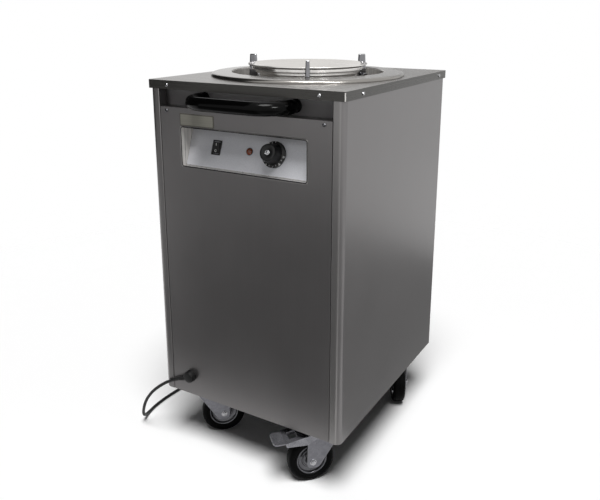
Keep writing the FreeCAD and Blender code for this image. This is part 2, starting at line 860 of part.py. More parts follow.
def free_cord(label, points):
    path, radii = round_wire(points)
    item = doc.addObject("Part::Feature", "Lead")
    item.Shape = tube_along(path, S.cord_radius.value)
    print(f"{label}: radii", [round(radius, 1) for radius in radii])
    report_volume(label, item.Shape, path, S.cord_radius.value)
    node(label, item)


def cord_coil():
    """Two layers of loops: spiral in below, climb in the half turn that reverses, spiral out above."""
    start = cord_route[-1]
    heading = (start - cord_route[-2]).normalize()
    sideways = UP.cross(heading)
    radius, pitch, cord = S.coil_radius.value, S.coil_pitch.value, S.cord_radius.value
    first = start + heading * (2 * cord)
    middle = first + sideways * radius
    rate = pitch / (2 * math.pi)
    turn_in, half_turn = 4 * math.pi, math.pi
    inmost = radius - rate * turn_in

    def spot(angle):
        """Radius, its slope, height and its slope at one angle of winding."""
        if angle <= turn_in:
            return radius - rate * angle, -rate, 0, 0
        past = angle - turn_in
        if past < half_turn:
            u = past / half_turn
            low = inmost - rate * past + rate * past * past / half_turn
            climb = pitch * (3 * u * u - 2 * u * u * u)
            return low, rate * (2 * u - 1), climb, pitch * 6 * u * (1 - u) / half_turn
        return inmost + rate * (past - half_turn), rate, pitch, 0

    points, headings = [], []
    quarter = math.pi / 2
    steps = round((2 * turn_in + half_turn) / quarter)
    for i in range(steps + 1):
        angle = i * quarter
        r, slope, climb, climb_slope = spot(angle)
        outward = sideways * -math.cos(angle) + heading * math.sin(angle)
        along = sideways * math.sin(angle) + heading * math.cos(angle)
        points.append(middle + outward * r + UP * climb)
        headings.append((along * r + outward * slope + UP * climb_slope).normalize())
    headings[0] = heading
    shape, path = wound_tube(points, headings, cord, 2 * cord)
    print(f"cord_coil: least gap to itself {self_gap(path, cord, math.pi * inmost):.2f} mm")
    report_volume("cord_coil", shape, path, cord)
    item = doc.addObject("Part::Feature", "Coil")
    item.Shape = shape
    node("cord_coil", item)
    return points[-1] + headings[-1] * (2 * cord), headings[-1]


def cord_tail(start, heading):
    """The short free stretch from the coil to the plug. Returns its end and its last heading."""
    outward = heading.cross(UP)
    points = [start + heading * ahead + outward * aside for ahead, aside in CORD_TAIL_STEPS]
    free_cord("cord_tail", points)
    return points[-1], points[-1] - points[-2]


def mains_plug(end, heading):
    """A flat moulded plug with two round pins, lying at the end of the cord."""
    owner = body()
    half = S.plug_width / 2
    neck = S.plug_neck_width / 2
    waist = S.plug_length * PLUG_NECK_SHARE
    grip = outline(owner, [
        (0, -neck), (waist, -half, S.plug_edge), (S.plug_length, -half, S.plug_edge),
        (S.plug_length, half, S.plug_edge), (waist, half, S.plug_edge), (0, neck)])
    pad(owner, grip, S.plug_thickness, both=True)
    pins = [rod(S.plug_length, S.pin_spacing / 2 * side, 0, S.pin_radius, S.pin_length, ALONG_X)
            for side in (-1, 1)]
    item = fuse([owner] + pins)
    item.Placement = FreeCAD.Placement(end, FreeCAD.Rotation(ALONG_X, heading))
    node("mains_plug", item)


def well():
    """The raised ring, the slotted tube that hangs under it, and the floor with its heater."""
    top = S.worktop_height
    inner = S.well_opening_radius
    outer = S.flange_radius
    skin = S.flange_sheet
    lip = inner + S.flange_lip_rise
    shoulder = outer - S.flange_shoulder
    ring = turned([
        (inner, -S.flange_spigot), (inner, S.flange_crown, S.flange_roll),
        (shoulder, S.flange_shoulder + skin, S.flange_roll), (outer, S.flange_roll, S.flange_roll),
        (outer, S.tube_sheet), (outer - skin, S.tube_sheet),
        (outer - skin, S.flange_roll), (shoulder - skin, S.flange_shoulder),
        (lip, S.flange_crown - skin), (inner + skin, S.flange_crown - skin * 2),
        (inner + skin, -S.flange_spigot)])
    node("well_flange", locate(ring, 0, centre_y, top))
    foot = S.tube_bottom_height
    rim = tube_inner + S.tube_rim
    pipe = turned([
        (tube_inner - S.tube_foot_rim, foot), (tube_outer, foot), (tube_outer, top), (rim, top),
        (rim, top + S.tube_sheet), (tube_inner, top + S.tube_sheet),
        (tube_inner, foot + S.tube_sheet), (tube_inner - S.tube_foot_rim, foot + S.tube_sheet)])
    slot_low = foot + S.slot_bottom_rise
    slot_high = top - S.slot_top_drop
    slots = []
    for angle in SPRING_ANGLES:
        slot = box(tube_inner - S.overrun, -S.slot_width / 2, slot_low,
                   S.tube_sheet + S.overrun * 2, S.slot_width, slot_high - slot_low)
        slots.append(locate(group([slot]), turn=angle))
    node("well_tube", locate(cut(pipe, slots), 0, centre_y))
    floor_low = foot + S.tube_sheet
    node("well_floor", rod(0, centre_y, floor_low, tube_inner - S.floor_fit, S.floor_sheet))
    floor_top = floor_low + S.floor_sheet
    ring_z = S.element_foot + S.element_radius
    loop = doc.addObject("Part::Torus", "Loop")
    bind(loop, "Radius1", S.element_ring_radius)
    bind(loop, "Radius2", S.element_radius)
    locate(loop, z=ring_z)
    feet = []
    for angle in SPRING_ANGLES:
        foot_rod = rod(S.element_ring_radius, 0, 0, S.element_foot_radius, ring_z)
        feet.append(locate(group([foot_rod]), turn=angle))
    node("heater_element", locate(fuse([loop] + feet), 0, centre_y, floor_top))


spider_top = S.worktop_height - S.spider_drop
arm_low = spider_top - S.arm_height


def carrier():
    """The dish, the stem with three arms under it, and the shoes that slide in the tube."""
    top = S.worktop_height
    seat = top + S.dish_seat_height
    under = seat - S.dish_sheet
    rim = top + S.dish_rim_height
    step = top + S.dish_step_height
    skin = S.dish_sheet
    step_radius = S.dish_radius - S.dish_rim_width
    seat_radius = step_radius - S.dish_step_width
    dish = turned([
        (0, under), (seat_radius, under, S.dish_corner),
        (step_radius, step - skin, S.dish_corner), (S.dish_radius, rim - skin),
        (S.dish_radius, rim, S.dish_rim_edge), (step_radius, step, S.dish_corner),
        (seat_radius - skin, seat, S.dish_corner), (0, seat)])
    node("carrier_dish", locate(dish, 0, centre_y))
    plate_low = under - S.stem_plate
    pieces = [
        rod(0, 0, arm_low, S.hub_radius, S.arm_height),
        rod(0, 0, arm_low, S.stem_radius, plate_low - arm_low),
        rod(0, 0, plate_low, S.stem_plate_radius, S.stem_plate)]
    stub_radius = S.spring_radius - S.spring_wire_radius - S.spring_room
    for angle in SPRING_ANGLES:
        arm = box(0, -S.arm_thickness / 2, arm_low, spring_ring, S.arm_thickness, S.arm_height)
        tip = rod(spring_ring, 0, spider_top - S.arm_pad, S.arm_pad_radius, S.arm_pad)
        stub = rod(spring_ring, 0, spider_top, stub_radius, S.plug_stub)
        pieces.append(locate(fuse([arm, tip, stub]), turn=angle))
    node("carrier_spider", locate(fuse(pieces), 0, centre_y))
    shoes = []
    outer = tube_inner - S.glide_room - S.glide_width * S.glide_width / (tube_inner * 8)
    hole_width = S.arm_thickness + S.glide_fit * 2
    hole_height = S.arm_height + S.glide_fit * 2
    for angle in SPRING_ANGLES:
        block = box(outer - S.glide_length, -S.glide_width / 2, -S.glide_height / 2, S.glide_length,
                    S.glide_width, S.glide_height)
        hole = box(outer - S.glide_length - S.overrun, -hole_width / 2, -hole_height / 2,
                   S.glide_length + S.overrun * 2, hole_width, hole_height)
        shoes.append(locate(cut(block, [hole]), turn=angle))
    node("carrier_glides", locate(group(shoes), 0, centre_y, spider_top - S.arm_height / 2))


def springs():
    """Three hangers under the worktop and the lift springs between them and the arms."""
    low = worktop_under - S.hanger_sheet
    stub_radius = S.spring_radius - S.spring_wire_radius - S.spring_room
    hangers = []
    for angle in SPRING_ANGLES:
        plate = box(spring_ring - S.hanger_length / 2, -S.hanger_width / 2, low, S.hanger_length,
                    S.hanger_width, S.hanger_sheet)
        stub = rod(spring_ring, 0, low - S.plug_stub, stub_radius, S.plug_stub)
        hangers.append(locate(fuse([plate, stub]), turn=angle))
    node("spring_hangers", locate(group(hangers), 0, centre_y))
    wire = S.spring_wire_radius.value
    bottom = spider_top.value + S.hanger_slack.value + wire
    top = low.value - S.hanger_slack.value - wire
    turns = round(S.spring_turns.value)
    radius = S.spring_radius.value
    rise = (top - bottom) / turns / (2 * math.pi)
    half_turns = 2 * turns
    points, headings = [], []
    for i in range(half_turns + 1):
        angle = i * math.pi
        outward = FreeCAD.Vector(math.cos(angle), math.sin(angle), 0)
        along = FreeCAD.Vector(-math.sin(angle), math.cos(angle), 0)
        points.append(outward * radius + UP * (bottom + rise * angle))
        headings.append((along * radius + UP * rise).normalize())
    shape, path = wound_tube(points, headings, wire, 0)
    print(f"lift_springs: least gap to itself {self_gap(path, wire, math.pi * radius):.2f} mm")
    report_volume("lift_springs", shape, path, wire)
    coils = []
    for angle in SPRING_ANGLES:
        coil = doc.addObject("Part::Feature", "Spring")
        coil.Shape = shape
        spot = FreeCAD.Rotation(UP, angle).multVec(ALONG_X * spring_ring.value)
        coil.Placement = FreeCAD.Placement(spot, FreeCAD.Rotation(UP, angle))
        coils.append(coil)
    node("lift_springs", locate(group(coils), 0, centre_y))


def guides():
    """Brackets in the tube, and the posts that slide out on them to suit wider plates."""
    seat = S.worktop_height - S.post_foot_drop
    half_depth = S.post_depth / 2
    half_width = S.post_width / 2
    half_bracket = S.bracket_width / 2
    wall = tube_inner - S.bracket_room - S.bracket_width * S.bracket_width / (tube_inner * 8)
    brackets = []
    for number, angle in enumerate(POST_ANGLES, start=1):
        shelf = box(wall - S.bracket_reach, -half_bracket, seat - S.bracket_sheet, S.bracket_reach,
                    S.bracket_width, S.bracket_sheet)
        web = box(wall - S.bracket_sheet, -half_bracket, seat - S.bracket_sheet, S.bracket_sheet,
                  S.bracket_width, S.bracket_wall)
        brackets.append(locate(fuse([shelf, web]), turn=angle))
        post = body()
        near = S.post_ring_radius - half_depth
        far = S.post_ring_radius + half_depth
        corners = [
            (near, -half_width, S.post_edge), (far, -half_width, S.post_edge),
            (far, half_width, S.post_edge), (near, half_width, S.post_edge)]
        shank = S.post_foot_drop - S.post_stand_off
        pad(post, outline(post, corners), shank)
        shoulder = outline(post, corners)
        bind(shoulder, "AttachmentOffset.Base.z", shank)
        tip = pad(post, shoulder, S.post_rise)
        bind(tip, "TaperAngle", -S.post_taper)
        node(f"guide_post_{number}", locate(post, 0, centre_y, seat + S.post_stand_off, angle))
        head_end = S.screw_waist + S.screw_head
        screw = turned([
            (0, 0), (S.screw_waist_radius, 0), (S.screw_waist_radius, S.screw_waist),
            (S.screw_head_radius, S.screw_waist), (S.screw_head_radius, head_end), (0, head_end)])
        locate(screw, S.post_ring_radius, -half_width, 0, 90, ALONG_X)
        node(f"guide_screw_{number}",
             locate(group([screw]), 0, centre_y, S.worktop_height - S.screw_drop, angle))
    node("guide_brackets", locate(group(brackets), 0, centre_y))


plate_under = S.underside_height - S.caster_plate
fork_top = plate_under - S.swivel_gap
pivot_z = fork_top - S.pedal_pivot_drop


def caster_plates():
    """Top plates bolted under the base, each with the kingpin that its fork turns on."""
    pieces = []
    for side, fore in CASTERS.values():
        x = caster_side * side
        y = centre_y + caster_fore * fore
        plate = box(x - S.caster_plate_width / 2, y - S.caster_plate_length / 2, plate_under,
                    S.caster_plate_width, S.caster_plate_length, S.caster_plate)
        nut_top = fork_top - S.bridge - S.swivel_gap
        pin = rod(x, y, nut_top, S.kingpin_radius, plate_under - nut_top)
        nut = rod(x, y, nut_top - S.kingpin_nut, S.kingpin_nut_radius, S.kingpin_nut)
        pieces.append(fuse([plate, pin, nut]))
    node("caster_plates", group(pieces))


def fork(braked):
    """Two cheeks under a bridge, built about the swivel axis with the wheel trailing towards -X."""
    owner = body()
    eye_low = S.wheel_radius - S.fork_eye
    corners = [
        (S.fork_front, fork_top, S.fork_corner), (S.fork_front, fork_top - S.fork_front_drop, S.fork_corner),
        (S.fork_eye - S.wheel_trail, eye_low, S.fork_eye - S.cheek),
        (-S.wheel_trail - S.fork_eye, eye_low, S.fork_eye - S.cheek),
        (-S.fork_back, fork_top, S.fork_corner)]
    width = (S.cheek_gap + S.cheek) * 2
    pad(owner, outline(owner, corners, "XZ_Plane"), width, both=True)
    room = outline(owner, [
        (-S.fork_back - S.fork_eye, 0), (S.fork_front + S.overrun, 0),
        (S.fork_front + S.overrun, fork_top - S.bridge),
        (-S.fork_back - S.fork_eye, fork_top - S.bridge)], "XZ_Plane")
    pocket(owner, room, S.cheek_gap * 2, both=True)
    eye = ring_outline(owner, -S.wheel_trail, S.wheel_radius, S.axle_radius + S.axle_hole_fit, "XZ_Plane")
    pocket(owner, eye, width + S.overrun, both=True)
    if braked:
        pivot = ring_outline(owner, -S.pedal_pivot_back, pivot_z,
                             S.pedal_pin_radius + S.pedal_pin_fit, "XZ_Plane")
        pocket(owner, pivot, width + S.overrun, both=True)
    king = ring_outline(owner, 0, 0, S.kingpin_radius + S.kingpin_fit)
    pocket(owner, king, fork_top + S.overrun, reverse=True)
    return owner


def pedal():
    """A brake lever: a holed channel astride the fork, with a tongue to step on and a pad over the tyre."""
    owner = body()
    inner_width = (S.cheek_gap + S.cheek + S.pedal_room) * 2
    outer_width = inner_width + S.pedal_sheet * 2
    pivot_x = -S.pedal_pivot_back
    start_x = pivot_x - S.pedal_start
    end_x = pivot_x - S.pedal_reach
    fall = tangent(S.pedal_tilt)
    start_z = pivot_z + S.pedal_start_rise
    end_z = start_z - (start_x - end_x) * fall
    side = outline(owner, [
        (pivot_x + S.pedal_eye, pivot_z + S.pedal_eye, S.pedal_eye_corner),
        (pivot_x, pivot_z + S.pedal_eye), (start_x, start_z), (end_x, end_z),
        (end_x + S.pedal_lip * sine(S.pedal_tilt), end_z - S.pedal_lip * cosine(S.pedal_tilt)),
        (start_x, start_z - S.pedal_skirt), (pivot_x, pivot_z - S.pedal_eye),
        (pivot_x + S.pedal_eye, pivot_z - S.pedal_eye, S.pedal_eye_corner)], "XZ_Plane")
    pad(owner, side, outer_width, both=True)
    front_x = pivot_x + S.pedal_eye + S.overrun
    arms = outline(owner, [(start_x, 0), (front_x, 0), (front_x, fork_top), (start_x, fork_top)], "XZ_Plane")
    pocket(owner, arms, inner_width, both=True)
    skin = S.pedal_sheet / cosine(S.pedal_tilt)
    under_z = start_z - skin
    lip_x = end_x + S.pedal_sheet
    hollow = outline(owner, [
        (start_x, 0), (start_x, under_z), (lip_x, under_z - (start_x - lip_x) * fall), (lip_x, 0)],
        "XZ_Plane")
    pocket(owner, hollow, inner_width, both=True)
    hole_x = end_x + S.pedal_hole_inset
    half_hole = S.pedal_hole_width / 2
    hole = outline(owner, [
        (hole_x, -half_hole), (hole_x + S.pedal_hole_length, -half_hole),
        (hole_x + S.pedal_hole_length, half_hole), (hole_x, half_hole)])
    pocket(owner, hole, fork_top, reverse=True)
    pad_x = start_x - S.brake_pad_length
    pad_z = under_z - S.brake_pad_length * fall
    shoe = outline(owner, [
        (start_x, under_z), (pad_x, pad_z), (pad_x, pad_z - S.brake_pad_heel),
        (start_x, under_z - S.brake_pad_toe)], "XZ_Plane")
    pad(owner, shoe, S.brake_pad_width, both=True)
    tip_x = end_x - S.tongue_reach
    half_tongue = S.tongue_width / 2
    tongue = outline(owner, [
        (lip_x, -half_tongue), (lip_x, half_tongue), (tip_x, half_tongue, S.tongue_corner),
        (tip_x, -half_tongue, S.tongue_corner)])
    bind(tongue, "AttachmentOffset.Base.z", end_z - S.tongue_drop - S.pedal_sheet)
    pad(owner, tongue, S.pedal_sheet)
    pin = ring_outline(owner, pivot_x, pivot_z, S.pedal_pin_radius, "XZ_Plane")
    pad(owner, pin, outer_width, both=True)
    return owner


def casters():
    rim_radius = S.tyre_seat_radius - S.tyre_fit
    rim_inner = rim_radius - S.rim_thickness
    half_boss = S.cheek_gap - S.wheel_gap
    half_web = S.web_thickness / 2
    half_seat = S.tyre_seat_width / 2
    half_tyre = S.tyre_width / 2
    half_axle = S.cheek_gap + S.cheek
    head = half_axle + S.axle_head
    bore = S.axle_radius + S.axle_fit
    for name, (side, fore) in CASTERS.items():
        turn = getattr(S, f"caster_angle_{name}")
        swivel_x = caster_side * side
        swivel_y = centre_y + caster_fore * fore
        wheel_x = swivel_x - S.wheel_trail * cosine(turn)
        wheel_y = swivel_y - S.wheel_trail * sine(turn)
        braked = name in BRAKED
        node(f"fork_{name}", locate(fork(braked), swivel_x, swivel_y, 0, turn))
        if braked:
            node(f"brake_pedal_{name}", locate(pedal(), swivel_x, swivel_y, 0, turn))
        axle = turned([
            (0, -head), (S.axle_head_radius, -head), (S.axle_head_radius, -half_axle),
            (S.axle_radius, -half_axle), (S.axle_radius, half_axle), (S.axle_head_radius, half_axle),
            (S.axle_head_radius, head), (0, head)], "XY_Plane")
        node(f"axle_{name}", locate(axle, wheel_x, wheel_y, S.wheel_radius, turn))
        hub = turned([
            (bore, -half_boss), (S.boss_radius, -half_boss), (S.boss_radius, -half_web),
            (rim_inner, -half_web), (rim_inner, -half_seat), (rim_radius, -half_seat),
            (rim_radius, half_seat), (rim_inner, half_seat), (rim_inner, half_web),
            (S.boss_radius, half_web), (S.boss_radius, half_boss), (bore, half_boss)], "XY_Plane")
        node(f"wheel_hub_{name}", locate(hub, wheel_x, wheel_y, S.wheel_radius, turn))
        shoulder = S.wheel_radius - S.tyre_shoulder
        tyre = turned([
            (S.tyre_seat_radius, -half_seat), (shoulder, -half_tyre, S.tyre_edge),
            (S.wheel_radius, S.tyre_shoulder - half_tyre, S.tyre_shoulder),
            (S.wheel_radius, half_tyre - S.tyre_shoulder, S.tyre_shoulder),
            (shoulder, half_tyre, S.tyre_edge), (S.tyre_seat_radius, half_seat)], "XY_Plane")
        node(f"tyre_{name}", locate(tyre, wheel_x, wheel_y, S.wheel_radius, turn))


def check_and_export():
    """Stops on any failed object, then writes one STEP file for each sub-part."""
    doc.recompute()
    for item in doc.Objects:
        if "Invalid" in item.State or "Error" in item.State:
            raise RuntimeError(f"{item.Label} failed: {item.State}")
    for item in nodes:
        if item.Shape.isNull() or not item.Shape.isValid():
            raise RuntimeError(f"{item.Label} has no valid shape")
    os.makedirs("parts", exist_ok=True)
    for item in nodes:
        item.Shape.exportStep(f"parts/{item.Label}.step")
    print(f"{len(nodes)} sub-parts written")


worktop()
side_panel("left_side_panel", -1)
side_panel("right_side_panel", 1)
front_panel()
rear_panel()
front_rail()
base_pan()
handle()
control_fascia()
switch()
lamp()
knob()
terminal_box()
cord_gland()
free_cord("cord_lead", cord_route)
mains_plug(*cord_tail(*cord_coil()))
well()
carrier()
springs()
guides()
caster_plates()
casters()
check_and_export()
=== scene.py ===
"""Looks of a heated plate dispenser on casters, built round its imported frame.

Pieces are modelled in millimetres, in the frame's own axes: +X right, +Y back, +Z up from the floor.
"""
import logging
import math
from abc import ABC, abstractmethod
from dataclasses import dataclass
from enum import Enum
from functools import lru_cache
from typing import Callable, Iterable, Sequence

import bmesh
import bpy
from mathutils import Matrix, Vector


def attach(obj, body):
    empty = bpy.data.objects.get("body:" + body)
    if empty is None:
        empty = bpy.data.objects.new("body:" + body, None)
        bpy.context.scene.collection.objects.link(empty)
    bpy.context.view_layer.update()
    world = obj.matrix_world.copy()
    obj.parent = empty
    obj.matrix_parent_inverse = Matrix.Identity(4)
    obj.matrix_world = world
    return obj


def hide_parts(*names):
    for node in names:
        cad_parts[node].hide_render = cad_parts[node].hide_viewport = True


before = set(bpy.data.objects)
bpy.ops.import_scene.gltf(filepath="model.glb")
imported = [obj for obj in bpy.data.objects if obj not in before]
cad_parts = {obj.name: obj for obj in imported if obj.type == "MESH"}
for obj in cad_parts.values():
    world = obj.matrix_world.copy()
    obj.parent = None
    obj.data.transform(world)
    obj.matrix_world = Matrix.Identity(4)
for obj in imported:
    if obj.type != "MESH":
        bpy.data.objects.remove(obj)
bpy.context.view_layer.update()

MM = 0.001
SHARP_ANGLE = math.radians(32)
UP = Vector((0.0, 0.0, 1.0))
log = logging.getLogger("plate_dispenser")

# Places in millimetres that several sub-assemblies share
MIDDLE_Y = 28.0
WORKTOP_LEVEL = 828.0
FRONT_FACE_Y = -228.0
RAIL_FACE_Y = -199.0

Point = tuple[float, float, float]
Flat = tuple[float, float]
Edge = bmesh.types.BMEdge
Face = bmesh.types.BMFace
Item = bpy.types.Object
Socket = bpy.types.NodeSocket
Tree = bpy.types.NodeTree


def linear(hex_colour: str) -> tuple[float, float, float, float]:
    """Turns an sRGB hex colour to linear light.

    Args:
        hex_colour: Six hex digits after a hash sign.

    Returns:
        Red, green, blue and a full alpha.
    """
    shares = [int(hex_colour[i:i + 2], 16) / 255 for i in (1, 3, 5)]
    return *((s / 12.92 if s <= 0.04045 else ((s + 0.055) / 1.055) ** 2.4) for s in shares), 1.0


def set_inputs(tree: Tree, node: bpy.types.Node, inputs: dict) -> None:
    """Sets a node's inputs, each to a value or to a link.

    Args:
        tree: The tree that holds the node.
        node: The node.
        inputs: Values, or output sockets to link, by input name or number.
    """
    for key, value in inputs.items():
        if isinstance(value, Socket):
            tree.links.new(value, node.inputs[key])
        else:
            node.inputs[key].default_value = value


def add_node(tree: Tree, kind: str, inputs: dict | None = None,
             **settings: object) -> bpy.types.Node:
    """Adds one shader node with its settings and links.

    Args:
        tree: The tree that takes the node.
        kind: Blender's name of the node's type.
        inputs: Values, or output sockets to link, by input name or number.
        settings: Properties of the node itself.

    Returns:
        The new node.
    """
    node = tree.nodes.new(kind)
    for name, value in settings.items():
        setattr(node, name, value)
    set_inputs(tree, node, inputs or {})
    return node


def blank_material(name: str) -> tuple[bpy.types.Material, Tree, bpy.types.Node]:
    """Makes a material with one Principled shader.

    Args:
        name: The real material's name.

    Returns:
        The material, its node tree and its shader.
    """
    material = bpy.data.materials.new(name)
    material.use_nodes = True
    shader = material.node_tree.nodes["Principled BSDF"]
    return material, material.node_tree, shader


def scene_object(name: str, data: bpy.types.ID) -> Item:
    """Puts data in the scene as an object at the origin.

    Args:
        name: The object's name.
        data: Its mesh, curve, light or camera.

    Returns:
        The object.
    """
    item = bpy.data.objects.new(name, data)
    bpy.context.scene.collection.objects.link(item)
    return item


class Grain(Enum):
    """Which way the lines of a brushed or turned finish run."""

    ALONG_X = "x"
    ALONG_Z = "z"
    LEVEL = "xy"
    ROUND = "round"


# The band that most of a noise's values lie in
NOISE_BAND = {"From Min": 0.3, "From Max": 0.7}


@dataclass(frozen=True)
class Finish(ABC):
    """What a piece is made of, named for the real material."""

    name: str
    colour: str

    @lru_cache
    def material(self) -> bpy.types.Material:
        """Makes the material, once.

        Returns:
            The finished material.
        """
        material, tree, shader = blank_material(self.name)
        place = add_node(tree, "ShaderNodeTexCoord").outputs["Object"]
        set_inputs(tree, shader, self.surface(tree, place))
        return material

    @abstractmethod
    def surface(self, tree: Tree, place: Socket) -> dict:
        """Adds the finish's own nodes.

        Args:
            tree: The material's tree.
            place: Object coordinates.

        Returns:
            Values and links for the shader's inputs.
        """


@dataclass(frozen=True)
class BrushedSteel(Finish):
    """Stainless sheet with fine lines, faint smears and brighter worn edges; other marked faces take the
    edge colour too, as on the cabinet's painted highlight.
    """

    grain: Grain
    roughness: float = 0.34
    line_mm: float = 2.6
    contrast: float = 0.10
    metallic: float = 1.0
    edge_colour: str = "#b9b7b4"
    edge_share: float = 0.45
    axis_mm: Flat = (0.0, MIDDLE_Y)
    relief_mm: float = 0.006
    swing: float = 1.0

    LINE_LENGTH_MM = 260.0
    LINE_DETAIL = 3.0
    LINE_ROUGHNESS = 0.55
    SMEAR_MM = 140.0
    SMEAR_DETAIL = 2.0
    SMEAR_DEPTH = 0.03
    SMOOTHER = 0.05
    ROUGHER = 0.06
    RELIEF_STRENGTH = 0.25

    def lines(self, tree: Tree, place: Socket) -> Socket:
        """Adds the noise that is long with the grain and narrow across it.

        Args:
            tree: The material's tree.
            place: Object coordinates.

        Returns:
            The noise's output.
        """
        fine = 1 / (self.line_mm * MM)
        long = 1 / (self.LINE_LENGTH_MM * MM)
        if self.grain is Grain.ROUND:
            middle = Vector((self.axis_mm[0] * -MM, self.axis_mm[1] * -MM, 0.0))
            flat = add_node(tree, "ShaderNodeMapping",
                            {"Vector": place, "Location": middle, "Scale": (1.0, 1.0, 1.0)})
            level = add_node(tree, "ShaderNodeVectorMath", {0: flat.outputs[0], 1: (1.0, 1.0, 0.0)},
                             operation="MULTIPLY")
            reach = add_node(tree, "ShaderNodeVectorMath", {0: level.outputs[0]}, operation="LENGTH")
            rings = add_node(tree, "ShaderNodeMath", {0: reach.outputs["Value"], 1: fine},
                             operation="MULTIPLY")
            spread = add_node(tree, "ShaderNodeCombineXYZ", {"X": rings.outputs[0]})
        else:
            scale = [long if letter in self.grain.value else fine for letter in "xyz"]
            spread = add_node(tree, "ShaderNodeMapping", {"Vector": place, "Scale": scale})
        noise = add_node(tree, "ShaderNodeTexNoise",
                         {"Vector": spread.outputs[0], "Scale": 1.0, "Detail": self.LINE_DETAIL,
                          "Roughness": self.LINE_ROUGHNESS})
        return noise.outputs[0]

    def surface(self, tree: Tree, place: Socket) -> dict:
        """Adds the lines, the smears, and the edge colour on worn edges and other marked faces.

        Args:
            tree: The material's tree.
            place: Object coordinates.

        Returns:
            Values and links for the shader's inputs.
        """
        lines = self.lines(tree, place)
        smear = add_node(tree, "ShaderNodeTexNoise",
                         {"Vector": place, "Scale": 1 / (self.SMEAR_MM * MM), "Detail": self.SMEAR_DETAIL})
        tone = add_node(tree, "ShaderNodeMapRange",
                        {"Value": lines, **NOISE_BAND,
                         "To Min": 1 - self.contrast, "To Max": 1 + self.contrast})
        cloud = add_node(tree, "ShaderNodeMapRange",
                         {"Value": smear.outputs[0], **NOISE_BAND,
                          "To Min": 1 - self.SMEAR_DEPTH, "To Max": 1 + self.SMEAR_DEPTH})
        shade = add_node(tree, "ShaderNodeMath", {0: tone.outputs[0], 1: cloud.outputs[0]},
                         operation="MULTIPLY")
        tinted = add_node(tree, "ShaderNodeVectorMath",
                          {0: linear(self.colour)[:3], "Scale": shade.outputs[0]}, operation="SCALE")
        edge = add_node(tree, "ShaderNodeAttribute", attribute_name="edge")
        tint_mark = add_node(tree, "ShaderNodeMath", {0: edge.outputs["Fac"], 1: self.edge_share},
                        operation="MULTIPLY")
        paint = add_node(tree, "ShaderNodeMix",
                         {0: tint_mark.outputs[0], 6: tinted.outputs[0], 7: linear(self.edge_colour)},
                         data_type="RGBA")
        rough = add_node(tree, "ShaderNodeMapRange",
                         {"Value": lines, **NOISE_BAND,
                          "To Min": self.roughness - self.SMOOTHER * self.swing,
                          "To Max": self.roughness + self.ROUGHER * self.swing})
        grip = add_node(tree, "ShaderNodeMath", {0: rough.outputs[0], 1: cloud.outputs[0]},
                        operation="MULTIPLY")
        bump = add_node(tree, "ShaderNodeBump",
                        {"Height": lines, "Strength": self.RELIEF_STRENGTH,
                         "Distance": self.relief_mm * MM})
        return {"Base Color": paint.outputs[2], "Roughness": grip.outputs[0], "Normal": bump.outputs[0],
                "Metallic": self.metallic}


@dataclass(frozen=True)
class Moulded(Finish):
    """Moulded plastic or rubber: a fine grit in the skin and a little bloom on its edges."""

    roughness: float
    grit_mm: float = 1.2
    relief_mm: float = 0.03
    bloom: str = "#3a3a3b"
    bloom_share: float = 0.25
    specular: float = 0.5

    GRIT_DETAIL = 2.0
    HAZE_GRITS = 28
    HAZE_DETAIL = 3.0
    DUST_BAND = {"From Min": 0.45, "From Max": 0.75}
    DUST_SHARE = 0.18
    ROUGH_SHARES = (0.88, 1.14)
    RELIEF_STRENGTH = 0.35

    def surface(self, tree: Tree, place: Socket) -> dict:
        """Adds the grit, a haze of dust and the bloom.

        Args:
            tree: The material's tree.
            place: Object coordinates.

        Returns:
            Values and links for the shader's inputs.
        """
        grit = add_node(tree, "ShaderNodeTexNoise",
                        {"Vector": place, "Scale": 1 / (self.grit_mm * MM), "Detail": self.GRIT_DETAIL})
        haze = add_node(tree, "ShaderNodeTexNoise",
                        {"Vector": place, "Scale": 1 / (self.grit_mm * self.HAZE_GRITS * MM),
                         "Detail": self.HAZE_DETAIL}).outputs[0]
        edge = add_node(tree, "ShaderNodeAttribute", attribute_name="edge")
        dust = add_node(tree, "ShaderNodeMapRange",
                        {"Value": haze, **self.DUST_BAND, "To Min": 0.0, "To Max": self.DUST_SHARE})
        tint_mark = add_node(tree, "ShaderNodeMath",
                        {0: edge.outputs["Fac"], 1: self.bloom_share, 2: dust.outputs[0]},
                        operation="MULTIPLY_ADD")
        paint = add_node(tree, "ShaderNodeMix",
                         {0: tint_mark.outputs[0], 6: linear(self.colour), 7: linear(self.bloom)},
                         data_type="RGBA")
        smooth, coarse = self.ROUGH_SHARES
        rough = add_node(tree, "ShaderNodeMapRange",
                         {"Value": haze, **NOISE_BAND,
                          "To Min": self.roughness * smooth, "To Max": self.roughness * coarse})
        bump = add_node(tree, "ShaderNodeBump",
                        {"Height": grit.outputs[0], "Strength": self.RELIEF_STRENGTH,
                         "Distance": self.relief_mm * MM})
        return {"Base Color": paint.outputs[2], "Roughness": rough.outputs[0], "Normal": bump.outputs[0],
                "Specular IOR Level": self.specular}


